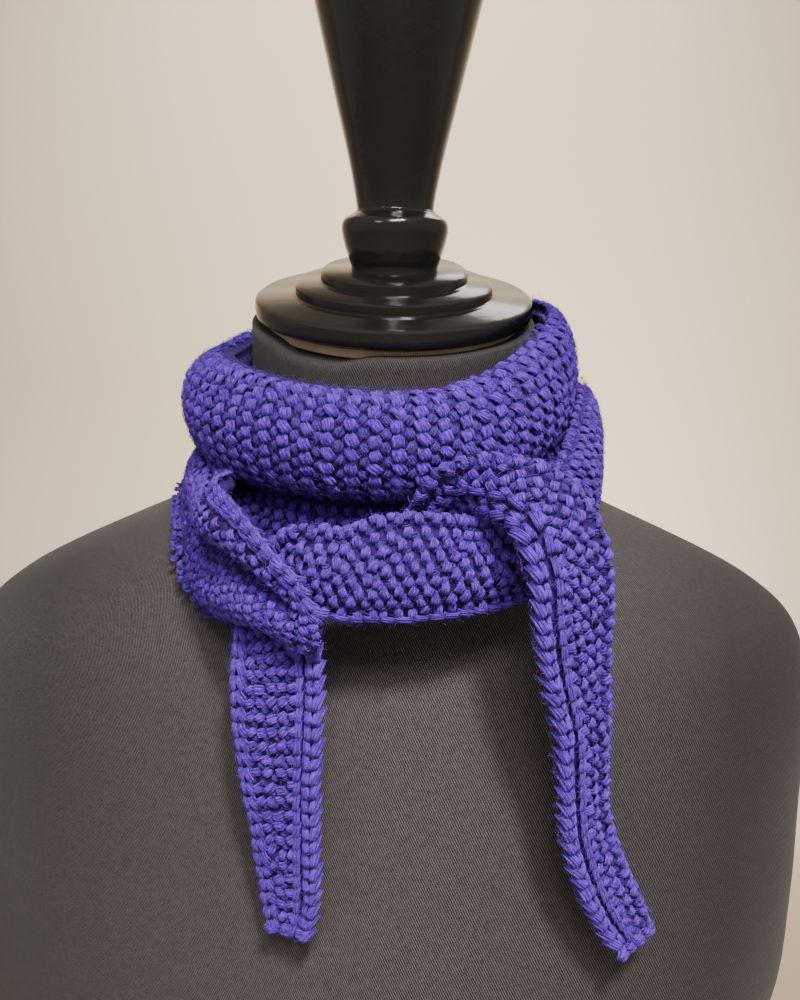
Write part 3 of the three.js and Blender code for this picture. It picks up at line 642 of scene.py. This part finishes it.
def frames_at(outer, i, j):
    """Spot, direction across, direction along and outward direction at places of the grid."""
    near, last_i, last_j = 0.6, outer.shape[0] - 1, outer.shape[1] - 1
    spot = pick(outer, i, j)
    along = unit(pick(outer, np.minimum(i + near, last_i), j) - pick(outer, np.maximum(i - near, 0), j))
    across = pick(outer, i, np.minimum(j + near, last_j)) - pick(outer, i, np.maximum(j - near, 0))
    across = unit(across - along * np.sum(across * along, 1, keepdims=True))
    return spot, across, along, np.cross(across, along)


def turned_by(first, second, angle):
    """Two directions turned in their own plane."""
    cos, sin = np.cos(angle)[:, None], np.sin(angle)[:, None]
    return first * cos + second * sin, second * cos - first * sin


def from_rim(points, inward):
    """Distance along a row of points to a place that is seen so far in from its rim."""
    aim = unit(points[-1] - points[0])
    seen = (points - points[0]) @ aim
    first, last = int(np.argmin(seen[:len(seen) // 2])), int(np.argmax(seen))
    part = np.arange(first, last + 1)
    return np.interp(inward, seen[part] - seen[first], run_length(points)[part])


def free_room(knit, edge, points, row):
    """How much of the cloth its cords take at one edge."""
    taken = []
    for side, offs, width, _, _ in knit["cords"]:
        if side == edge:
            taken.append(from_rim(points, np.interp(row, *zip(*offs)) + width / 2))
    return max(taken) - UNDER_CORD if taken else PLAIN_RIM


def garter_places(outer, bend, knit, step):
    """Places of the bumps of every ridge; with step 0.5 those of the lower loops between them."""
    long = run_length(middle_line(outer))
    ridges = max(2, round(long[-1] / knit["ridge"]))
    pitch = long[-1] / ridges
    # Slanting ridges also come in from beyond both ends
    spill = math.ceil(abs(knit["slant"]) * WIDEST_HALF / pitch)
    rows = len(knit["rows"]) - 1
    found = []
    for n in range(-spill, ridges + spill):
        at = place_at(np.clip(n + 0.5, 0, ridges) * pitch, long)
        wide = run_length(outer[int(at)])
        row = at / (outer.shape[0] - 1) * rows
        low = free_room(knit, 0, outer[int(at)], row)
        high = wide[-1] - free_room(knit, 1, outer[int(at), ::-1], row)
        count = max(1, round((high - low) / knit["across"]))
        for k in range(count):
            w = low + (high - low) * (k + 0.5 + step) / count
            s = (n + 0.5 + step) * pitch + knit["slant"] * (w - wide[-1] / 2)
            if not (0.25 * pitch < s < long[-1] - 0.25 * pitch and low < w < high):
                continue
            i, j = place_at(s, long), place_at(w, wide)
            behind = middle_line(outer)[int(i), 1] > BEHIND
            reach = min(knit["reach"], BEHIND_REACH) if behind else knit["reach"]
            if abs(bend[int(i), int(round(j))]) < reach:
                found.append((i, j, (high - low) / count / BUMP_ACROSS, pitch / RIDGE))
    return np.array(found)


def garter(outer, bend, knit, choice, step, rng):
    """Spots of all bumps of a stretch, or of all the lower loops between its ridges."""
    i, j, across_fit, along_fit = garter_places(outer, bend, knit, step).T
    uneven = knit["uneven"]
    cell = knit["ridge"] / np.linalg.norm(np.diff(middle_line(outer), axis=0), axis=1).mean()
    i = kept_on(i + rng.normal(0, STRAY_ALONG * uneven * cell, len(i)), outer.shape[0])
    j = kept_on(j + rng.normal(0, STRAY_ACROSS * uneven, len(j)), outer.shape[1])
    spot, across, along, up = frames_at(outer, i, j)
    swing = math.atan(knit["slant"]) + rng.normal(0, STRAY_TURN * uneven, len(i))
    across, along = turned_by(across, along, swing)
    low = knit["across"] / BUMP_ACROSS
    past = np.abs(bend[i.astype(int), np.round(j).astype(int)]) - knit["reach"] + RIM_FADE
    rim = np.clip(past / RIM_FADE, 0, 1)
    spot = spot + up * (rng.normal(0, STRAY_UP * uneven, len(i)) + 0.2 * (1 - low) - RIM_SINK * rim)[:, None]
    fit = rng.uniform(0.9, 1.1, len(i)) * (1 - 0.2 * rim)
    room = 1.16 if step == 0 else 1.0
    stretch = np.stack([across_fit * fit, np.clip(along_fit, 0.7, room), (0.4 + 0.6 * low) * fit], 1)
    return spots_of(rng.choice(choice, len(i)), spot, across, along, up, stretch, rng, 0.07 * uneven)


def corded_edge(outer, knit, cord, rng):
    """Spots of one line of stitches along an edge: vees, or long single stitches."""
    edge, offs, width, kind, apex = cord
    parts, own_width = (LEGS, VEE_WIDTH) if kind == "vee" else (LINE, LINE_WIDTH)
    grid = outer if edge == 0 else outer[:, ::-1]
    long = run_length(grid[:, 2])
    count = max(2, round(long[-1] / VEE))
    rows = len(knit["rows"]) - 1
    i = place_at((np.arange(count) + 0.5) / count * long[-1], long)
    j = []
    for at in i:
        wide = run_length(grid[int(at)])
        off = from_rim(grid[int(at)], np.interp(at / (len(long) - 1) * rows, *zip(*offs)))
        j.append(place_at(min(off, wide[-1] * 0.48), wide))
    spot, _, _, up = frames_at(grid, i, np.array(j))
    if edge == 1:
        up = -up  # the grid is mirrored when it is counted from its other rim
    y = unit(np.gradient(spot, axis=0)) * apex
    x = unit(np.cross(y, up))
    up = np.cross(x, y)
    spot = spot + up * rng.normal(0, 0.12, count)[:, None]
    made = []
    for part in parts:
        across, _ = turned_by(x, y, rng.normal(0, 0.07, count))
        stretch = np.stack([np.full(count, width / own_width),
                            np.full(count, long[-1] / count / VEE) * rng.uniform(0.95, 1.1, count),
                            rng.uniform(0.9, 1.1, count)], 1)
        made.append(spots_of(np.full(count, part), spot, across, y, up, stretch, rng, 0.05))
    return made


def tip_cord(outer, rng):
    """Spots of the vees round the end of a tail."""
    wide = run_length(outer[-1])
    count = max(2, round(wide[-1] * 0.8 / VEE))
    long = run_length(middle_line(outer))
    i = np.full(count, place_at(long[-1] - 1.8, long))
    j = place_at(np.linspace(0.26, 0.74, count) * wide[-1], wide)
    spot, across, along, up = frames_at(outer, kept_on(i, outer.shape[0]), j)
    spot = spot + up * 0.2
    stretch = np.tile([0.8, 0.95, 1.0], (count, 1))
    return [spots_of(np.full(count, part), spot, along, -across, up, stretch, rng, 0.05) for part in LEGS]


def loose_fibres(outer, bend, knit, rng):
    """Spots of fine fibres that stand off the yarn all over a stretch."""
    amount = rng.poisson(cell_areas(outer) * FIBRES)
    amount[np.abs(bend[:-1, :-1]) > knit["reach"]] = 0
    i, j = (np.repeat(part.ravel(), amount.ravel()) for part in np.indices(amount.shape))
    spot, across, along, up = frames_at(outer, i + rng.uniform(0, 1, len(i)), j + rng.uniform(0, 1, len(j)))
    across, along = turned_by(across, along, rng.uniform(0, 2 * np.pi, len(i)))
    stretch = rng.uniform(0.35, 0.95, (len(i), 1)) * np.ones(3)
    return spots_of(rng.choice(LOOSE, len(i)), spot, across, along, up, stretch, rng, 0.15)


# Finishes
def group_with(name, inputs, outputs):
    """An empty shader group with its sockets, and its two end nodes."""
    group = bpy.data.node_groups.new(name, "ShaderNodeTree")
    for label, kind, value in inputs:
        socket = group.interface.new_socket(label, in_out="INPUT", socket_type="NodeSocket" + kind)
        if value is not None:
            socket.default_value = value
    for label, kind in outputs:
        group.interface.new_socket(label, in_out="OUTPUT", socket_type="NodeSocket" + kind)
    return group, group.nodes.new("NodeGroupInput"), group.nodes.new("NodeGroupOutput")


def add_node(tree, kind, sockets=None, **settings):
    """A shader node with its settings; each socket gets a value or another node's output."""
    made = tree.nodes.new("ShaderNode" + kind)
    for key, value in settings.items():
        setattr(made, key, value)
    for key, value in (sockets or {}).items():
        if isinstance(value, bpy.types.NodeSocket):
            tree.links.new(value, made.inputs[key])
        else:
            made.inputs[key].default_value = value
    return made


def maths(tree, operation, *values):
    """Output of a maths node; a value is a number or another output."""
    return add_node(tree, "Math", dict(enumerate(values)), operation=operation).outputs[0]


def blend(tree, share, first, second):
    """Colour between two others."""
    return add_node(tree, "Mix", {"Factor": share, 6: first, 7: second}, data_type="RGBA").outputs[2]


def noise(tree, where, scale, detail=2.0):
    """Output of a noise texture at a place."""
    return add_node(tree, "TexNoise", {"Scale": scale, "Detail": detail, "Vector": where}).outputs["Fac"]


def on_cloth(tree):
    """Place on the cloth, by its own map."""
    return add_node(tree, "UVMap", uv_map="cloth").outputs["UV"]


def in_object(tree):
    """Place in the object's own coordinates, which are the scene's."""
    return add_node(tree, "TexCoord").outputs["Object"]


def yarn_group():
    """Fibres along a ply: how high they stand, and how near the middle of the stitch a point is."""
    inputs = [("Along", "Float", 2.6), ("Around", "Float", 8.0), ("Wander", "Float", 220.0)]
    group, start, end = group_with("yarn_fibres", inputs, [("Height", "Float"), ("Middle", "Float")])
    parts = add_node(group, "SeparateXYZ", {0: on_cloth(group)})
    u, v = parts.outputs["X"], parts.outputs["Y"]
    along = maths(group, "MULTIPLY", u, start.outputs["Along"])
    around = maths(group, "MULTIPLY", v, start.outputs["Around"])
    ply = add_node(group, "CombineXYZ", {0: along, 1: around})
    far = {0: in_object(group), "Scale": start.outputs["Wander"]}
    far = add_node(group, "VectorMath", far, operation="SCALE")
    both = add_node(group, "VectorMath", {0: ply.outputs[0], 1: far.outputs[0]}, operation="ADD")
    group.links.new(noise(group, both.outputs[0], 1.0, 3.0), end.inputs["Height"])
    # Middle is used in wool_finish to paint shade on a stitch's ends
    off = maths(group, "ABSOLUTE", maths(group, "MULTIPLY_ADD", u, 2.0, -1.0))
    group.links.new(maths(group, "SUBTRACT", 1.0, maths(group, "POWER", off, 2.5)), end.inputs["Middle"])
    return group


def tint_group():
    """Colour that wanders gently between two tints over the object."""
    inputs = [("Dark", "Color", None), ("Light", "Color", None),
              ("Size", "Float", 300.0), ("Lift", "Float", 0.0)]
    group, start, end = group_with("wandering_tint", inputs, [("Color", "Color")])
    speckle = noise(group, in_object(group), start.outputs["Size"], 3.0)
    share = maths(group, "ADD", speckle, start.outputs["Lift"])
    colour = blend(group, share, start.outputs["Dark"], start.outputs["Light"])
    group.links.new(colour, end.inputs["Color"])
    return group


def weave_group():
    """Twill: steep diagonal ribs broken into single threads."""
    inputs = [("Ribs", "Float", 400.0), ("Slant", "Float", -25.0)]
    group, start, end = group_with("twill_weave", inputs, [("Height", "Float")])
    uv = on_cloth(group)
    slant = maths(group, "RADIANS", start.outputs["Slant"])
    turned = add_node(group, "VectorRotate", {"Vector": uv, "Angle": slant}, rotation_type="Z_AXIS")
    rib = add_node(group, "TexWave", {
        "Vector": turned.outputs["Vector"], "Scale": start.outputs["Ribs"],
        "Distortion": 0.8, "Detail": 1.0, "Detail Scale": 3.0})
    threads = maths(group, "MULTIPLY_ADD", noise(group, uv, 2200.0, 1.0), 1.6, 0.1)
    group.links.new(maths(group, "MULTIPLY", rib.outputs["Fac"], threads), end.inputs["Height"])
    return group


def place_group(tree, group, **values):
    """A shader group in a material, with its own values."""
    made = tree.nodes.new("ShaderNodeGroup")
    made.node_tree = group
    for key, value in values.items():
        made.inputs[key].default_value = value
    return made


def new_finish(name, **values):
    """A material with values on its own shader's sockets, spaces in their names written as _."""
    finish = bpy.data.materials.new(name)
    finish.use_nodes = True
    shader = finish.node_tree.nodes["Principled BSDF"]
    for key, value in values.items():
        shader.inputs[key.replace("_", " ")].default_value = value
    return finish, finish.node_tree, shader


def add_bump(tree, shader, height, distance, strength=1.0):
    """Relief of a finish from its heights."""
    bump = add_node(tree, "Bump", {"Strength": strength, "Distance": distance, "Height": height})
    tree.links.new(bump.outputs["Normal"], shader.inputs["Normal"])


def wool_finish(name, dark, light, yarn, tint, lift):
    """Plied wool, streaked fibre by fibre, with painted shade that darkens the ends of a stitch where it
    dives between bumps.
    """
    finish, tree, shader = new_finish(
        name, Roughness=0.9, Sheen_Weight=0.6, Sheen_Roughness=0.5, Sheen_Tint=WOOL_SHEEN)
    fibres = place_group(tree, yarn)
    colour = place_group(tree, tint, Dark=dark, Light=light, Size=230.0)
    streak = maths(tree, "MULTIPLY_ADD", fibres.outputs["Height"], STREAKS, -STREAKS / 2)
    # Painted shade on both ends of a stitch
    ends = maths(tree, "MULTIPLY_ADD", fibres.outputs["Middle"], PAINTED_END_SHADE, lift - PAINTED_END_SHADE)
    tree.links.new(maths(tree, "ADD", streak, ends), colour.inputs["Lift"])
    tree.links.new(colour.outputs["Color"], shader.inputs["Base Color"])
    add_bump(tree, shader, fibres.outputs["Height"], 0.0011)
    return finish


def ground_finish(tint):
    """Knit backs seen between the bumps, the yarn painted dark as shade, with rows along the cloth."""
    finish, tree, shader = new_finish(
        "wool_ground_painted_shade", Roughness=0.95, Sheen_Weight=0.06, Sheen_Roughness=0.5, Sheen_Tint=WOOL_SHEEN)
    colour = place_group(tree, tint, Dark=(0.008, 0.0015, 0.05, 1), Light=(0.05, 0.01, 0.22, 1), Size=420.0)
    rows = add_node(tree, "TexWave", {"Scale": 55.0, "Distortion": 1.2, "Vector": on_cloth(tree)})
    tree.links.new(colour.outputs["Color"], shader.inputs["Base Color"])
    add_bump(tree, shader, rows.outputs["Fac"], 0.001)
    return finish


def twill_finish(weave, tint):
    """Grey twill with painted shade: lighter down the middle, darker towards both sides and round the neck.
    """
    finish, tree, shader = new_finish("form_twill", Roughness=0.75, Sheen_Weight=0.1, Sheen_Roughness=0.4)
    ribs = place_group(tree, weave)
    dark, light, painted_shade_colour = (0.005, 0.004, 0.0044, 1), (0.148, 0.118, 0.122, 1), (0.002, 0.0017, 0.0018, 1)
    colour = place_group(tree, tint, Dark=dark, Light=light, Size=500.0)
    lift = maths(tree, "MULTIPLY_ADD", ribs.outputs["Height"], 1.7, -0.86)
    tree.links.new(lift, colour.inputs["Lift"])
    place = add_node(tree, "SeparateXYZ", {0: in_object(tree)})
    # Painted shade grows from the middle to both sides, and upwards from about 0.6 m towards the neck under
    # the cap
    side = maths(tree, "MULTIPLY", maths(tree, "ABSOLUTE", place.outputs["X"]), 8.0)
    side = maths(tree, "POWER", side, 2.0)
    high = maths(tree, "MAXIMUM", maths(tree, "MULTIPLY_ADD", place.outputs["Z"], 9.0, -5.35), 0.0)
    shade = maths(tree, "MINIMUM", maths(tree, "MULTIPLY_ADD", side, 0.55, high), 0.62)
    # Painted shade: the weave's colour is blended towards a near-black shade colour
    tree.links.new(blend(tree, shade, colour.outputs["Color"], painted_shade_colour), shader.inputs["Base Color"])
    add_bump(tree, shader, ribs.outputs["Height"], 0.0003, 0.6)
    return finish


def lacquer_finish(tint):
    """Black lacquer, glossy, with a faint swell."""
    finish, tree, shader = new_finish("black_lacquer", Roughness=0.18, Specular_IOR_Level=0.6)
    dark, light = (0.006, 0.0055, 0.005, 1), (0.016, 0.014, 0.013, 1)
    colour = place_group(tree, tint, Dark=dark, Light=light, Size=60.0)
    tree.links.new(colour.outputs["Color"], shader.inputs["Base Color"])
    add_bump(tree, shader, noise(tree, in_object(tree), 240.0), 0.0005, 0.2)
    return finish


def wood_finish(tint):
    """Pale bare wood."""
    finish, tree, shader = new_finish("pale_wood", Roughness=0.6)
    colour = place_group(tree, tint, Dark=(0.3, 0.2, 0.1, 1), Light=(0.7, 0.55, 0.34, 1), Size=90.0)
    tree.links.new(colour.outputs["Color"], shader.inputs["Base Color"])
    return finish


def plain_finish(name, colour, tint):
    """Dull paint that is almost even."""
    finish, tree, shader = new_finish(name, Roughness=0.9)
    light = tuple(min(1, c * 1.06) for c in colour[:3]) + (1,)
    spread = place_group(tree, tint, Dark=colour, Light=light, Size=1.5)
    tree.links.new(spread.outputs["Color"], shader.inputs["Base Color"])
    return finish


def one_sided(finish):
    """Makes a finish clear from behind, so that views from the back see past the wall."""
    tree = finish.node_tree
    out = next(node for node in tree.nodes if node.type == "OUTPUT_MATERIAL")
    shader = next(node for node in tree.nodes if node.type == "BSDF_PRINCIPLED")
    where, clear = add_node(tree, "NewGeometry"), add_node(tree, "BsdfTransparent")
    mix = {0: where.outputs["Backfacing"], 1: shader.outputs[0], 2: clear.outputs[0]}
    tree.links.new(add_node(tree, "MixShader", mix).outputs[0], out.inputs["Surface"])
    return finish


# Pieces
def turned_piece(name, profile, lean, lift, finish, segments=128):
    """Turned piece from its closed profile."""
    profile = np.array(profile, float)
    angle = np.linspace(0, 2 * np.pi, segments, endpoint=False)
    body = profile[1:-1]
    rings = [np.stack([r * np.cos(angle), r * np.sin(angle), 0 * angle + z], 1) for r, z in body]
    points = np.concatenate(rings)
    faces = ring_faces(len(body), segments)
    for ring, height in ((0, profile[0, 1]), (len(body) - 1, profile[-1, 1])):
        points = np.vstack([points, (0, 0, height)])
        faces += fan(ring * segments, segments, len(points) - 1)
    cos, sin = math.cos(math.radians(lean)), math.sin(math.radians(lean))
    y, z = points[:, 1].copy(), points[:, 2].copy()
    points[:, 1], points[:, 2] = y * cos - z * sin, y * sin + z * cos + lift
    piece = add_piece(name, to_scene(points), faces)
    piece.data.materials.append(finish)
    piece.data.set_sharp_from_angle(angle=math.radians(40))
    return piece


def smooth_profile(rows, steps=6):
    """Profile with points worked out between its rows on a smooth curve."""
    rows = np.array(rows, float)
    return np.vstack([rows[:1], finer(rows[1:-1], steps), rows[-1:]])


def form_cover(finish, around=192, steps=5):
    """Cloth-covered body, closed at base and neck; its hem under the cap dips where the wood shows."""
    rows = finer(FORM, steps)
    top = rows[0]
    hem = [(NECK_TOP - 0.2, 0.955), (NECK_TOP + 0.5, 0.975), (NECK_TOP + 0.3, 0.995)]
    rows = np.vstack([[(z, top[1] * k, top[2] * k, top[3], top[4]) for z, k in hem], rows])
    angle = np.linspace(0, 2 * np.pi, around, endpoint=False)
    from_dip = (angle - math.radians(DIP_ANGLE) + np.pi) % (2 * np.pi) - np.pi
    rise = HEM_RISE - DIP_DEPTH * np.exp(-(from_dip / DIP_WIDTH) ** 4)
    points = []
    for z, half, depth, y, lean in rows:
        x = half * np.cos(angle)
        out = y + depth * np.sin(angle)
        lift = rise * np.clip((z - HEM_FOOT) / (NECK_TOP - HEM_FOOT), 0, 1)
        points.append(np.stack([x, out, z + lift + math.tan(math.radians(lean)) * out], 1))
    rings = np.array(points)
    down = np.cumsum(np.linalg.norm(np.diff(rings, axis=0), axis=2), 0)
    down = np.concatenate([np.zeros((1, around)), down])
    back = rings[:, :, 1] - rings[:, :, 1].min(axis=1, keepdims=True)
    run = rings[:, :, 0] + np.sign(rings[:, :, 0]) * 0.5 * back
    uv = [tuple(pair) for pair in np.stack([run, -down], 2).reshape(-1, 2) * MM]
    points = [tuple(p) for p in rings.reshape(-1, 3)]
    faces = ring_faces(len(rows), around)
    for ring in (0, len(rows) - 1):
        middle = np.mean(points[ring * around:(ring + 1) * around], axis=0)
        points.append(middle)
        uv.append((middle[0] * MM, middle[1] * MM))
        faces += fan(ring * around, around, len(points) - 1)
    piece = add_piece("form_cover", to_scene(points), faces)
    lay_uv(piece, uv)
    piece.data.set_sharp_from_angle(angle=math.radians(60))
    piece.data.materials.append(finish)
    return piece


def keep(piece, slot_name, *nodes):
    """Puts a piece on the root body and hides the solids it takes the place of. slot_name is not used."""
    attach(piece, "root")
    if nodes:
        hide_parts(*nodes)


def knit_stretch(name, knit, shapes, finishes, tree, rng):
    """Ground cloth of one stretch and all that is knitted on it."""
    outer, inner, normal, bend = cloth_grid(knit)
    ground, wide, long, area = ground_cloth(name + "_cloth", outer, inner, normal)
    ground.data.materials.append(finishes["ground"])
    stitches = [garter(outer, bend, knit, BUMPS, 0, rng)]
    for cord in knit["cords"]:
        stitches += corded_edge(outer, knit, cord, rng)
    if knit["tip"]:
        stitches += tip_cord(outer, rng)
    low = [garter(outer, bend, knit, SUNK, 0.5, rng)]
    loose = [loose_fibres(outer, bend, knit, rng)]
    parts = [lay_copies(name + "_stitches", shapes, stitches, finishes["wool"], tree),
             lay_copies(name + "_low_loops", shapes, low, finishes["low"], tree),
             lay_copies(name + "_fibres", shapes, loose, finishes["fibre"], tree, 0.25)]
    return ground, parts, (round(wide, 4), round(long, 4)), area


def scarf(finishes, tree):
    """All stretches, knitted and then put on the root body."""
    shapes = make_shapes()
    made = []
    for number, (name, knit) in enumerate(STRETCHES.items()):
        rng = np.random.default_rng(100 + number)
        made.append(knit_stretch(name, knit, shapes, finishes, tree, rng))
    for shape in list(shapes.objects):
        bpy.data.objects.remove(shape)
    bpy.data.collections.remove(shapes)
    for knit, (ground, parts, flat, area) in zip(STRETCHES.values(), made):
        keep(ground, "wool", knit["node"])
        for part in parts:
            keep(part, "wool")
        whole = flat[0] * flat[1]
        area = min(max(area, LEAST_SHARE * whole), whole)


def camera():
    """Camera in front of the neck, looking a little down."""
    data = bpy.data.cameras.new("view")
    data.lens, data.sensor_width = LENS, 36
    piece = put("view", data)
    x, y, z = CAMERA_PLACE
    place = Matrix.Translation(Vector((x, y + DEPTH_SHIFT, RIM_HEIGHT + z)) * MM)
    tilt = Matrix.Rotation(math.radians(CAMERA_TILT), 4, "X")
    roll = Matrix.Rotation(math.radians(CAMERA_ROLL), 4, "Z")
    piece.matrix_world = place @ tilt @ roll
    bpy.context.scene.camera = piece


def lamp(name, place, aim, size, power, colour):
    """Square lamp turned to its aim."""
    data = bpy.data.lights.new(name, "AREA")
    data.size, data.energy, data.color = size, power, colour
    piece = put(name, data)
    piece.location = place
    piece.rotation_euler = (Vector(aim) - Vector(place)).to_track_quat("-Z", "Y").to_euler()


def soft_spot(name, azimuth, elevation, far, aim, cone, size, power, colour):
    """Soft-edged spot on an aim point. Azimuth from the front to the viewer's right; cone in degrees."""
    data = bpy.data.lights.new(name, "SPOT")
    data.spot_size, data.spot_blend, data.shadow_soft_size = math.radians(cone), 1.0, size
    data.energy, data.color = power, colour
    a, e = math.radians(azimuth), math.radians(elevation)
    toward = Vector((math.cos(e) * math.sin(a), -math.cos(e) * math.cos(a), math.sin(e)))
    piece = put(name, data)
    piece.location = Vector(aim) + toward * far
    piece.rotation_euler = toward.to_track_quat("Z", "Y").to_euler()


def studio(tint):
    """Pale floor that rises into a pale wall, and soft lamps above. Sizes in metres."""
    front, bend, radius, top, half, below, steps = -3.0, 0.6, 0.5, 4.0, 4, 0.0005, 12
    profile = [(front, 0.0), (bend, 0.0)]
    for step in range(1, steps + 1):
        a = math.radians(90 * step / steps)
        profile.append((bend + radius * math.sin(a), radius - radius * math.cos(a)))
    profile.append((bend + radius, top))
    points = [(x, y, z - below) for y, z in profile for x in (-half, half)]
    faces = [(2 * k, 2 * k + 1, 2 * k + 3, 2 * k + 2) for k in range(len(profile) - 1)]
    floor = add_piece("studio_floor", points, faces)
    floor.data.flip_normals()  # so that the open sheet faces up and to the front
    floor.data.materials.append(one_sided(plain_finish("pale_floor", (0.7, 0.585, 0.44, 1), tint)))
    world = bpy.data.worlds.new("studio")
    world.use_nodes = True
    background = world.node_tree.nodes["Background"]
    background.inputs["Color"].default_value = (1.0, 0.96, 0.9, 1)
    background.inputs["Strength"].default_value = 0.4
    bpy.context.scene.world = world
    soft_spot("key", 18, 60, 1.3, (0.015, -0.1, 0.45), 25, 0.09, 92, (1.0, 0.96, 0.92))
    lamp("front", (-0.02, -1.0, 1.65), (0, 0, 0.5), 0.3, 10, (1.0, 0.97, 0.94))
    soft_spot("left", -38, 32, 1.1, (-0.075, -0.08, 0.58), 12, 0.25, 26, (1.0, 0.97, 0.95))
    soft_spot("wall", 0, 58, 2.0, (-0.04, 1.1, 0.6), 58, 0.2, 290, (1.0, 0.94, 0.83))
    lamp("back", (0.45, 0.95, 1.5), (0, 0, 0.6), 0.4, 3, (1.0, 0.97, 0.93))
    lamp("low_wall", (0.15, 0.5, 0.2), (0.4, 1.15, 0.8), 0.4, 8, (1.0, 0.95, 0.84))


def build():
    """Camera, finishes, form, scarf and studio."""
    camera()
    tint, yarn, tree = tint_group(), yarn_group(), laying_tree()
    finishes = {
        "wool": wool_finish("wool_yarn", (0.04, 0.008, 0.26, 1), (0.195, 0.043, 0.83, 1), yarn, tint, 0.1),
        # Painted shade: the lower loops are the same yarn in darker colours, for the shade between ridges
        "low": wool_finish("wool_yarn_low_painted_shade", (0.026, 0.007, 0.18, 1), (0.105, 0.028, 0.5, 1), yarn, tint, 0.0),
        # Painted highlight: the loose fibres are the same yarn in lighter colours, for light caught on the
        # fuzz
        "fibre": wool_finish("wool_fibre_painted_highlight", (0.13, 0.045, 0.6, 1), (0.25, 0.1, 0.9, 1), yarn, tint, 0.3),
        "ground": ground_finish(tint),
    }
    keep(form_cover(twill_finish(weave_group(), tint)), "twill", "form_body")
    lacquer = lacquer_finish(tint)
    keep(turned_piece("turned_cap", CAP, CAP_TILT, CAP_LIFT, lacquer), "lacquer", "neck_cap")
    spacer = turned_piece("wood_spacer", SPACER, CAP_TILT, CAP_LIFT, wood_finish(tint))
    keep(spacer, "pale_wood", "neck_spacer")
    keep(turned_piece("turned_finial", smooth_profile(FINIAL), 0, 0, lacquer), "lacquer", "finial")
    scarf(finishes, tree)
    studio(tint)


build()
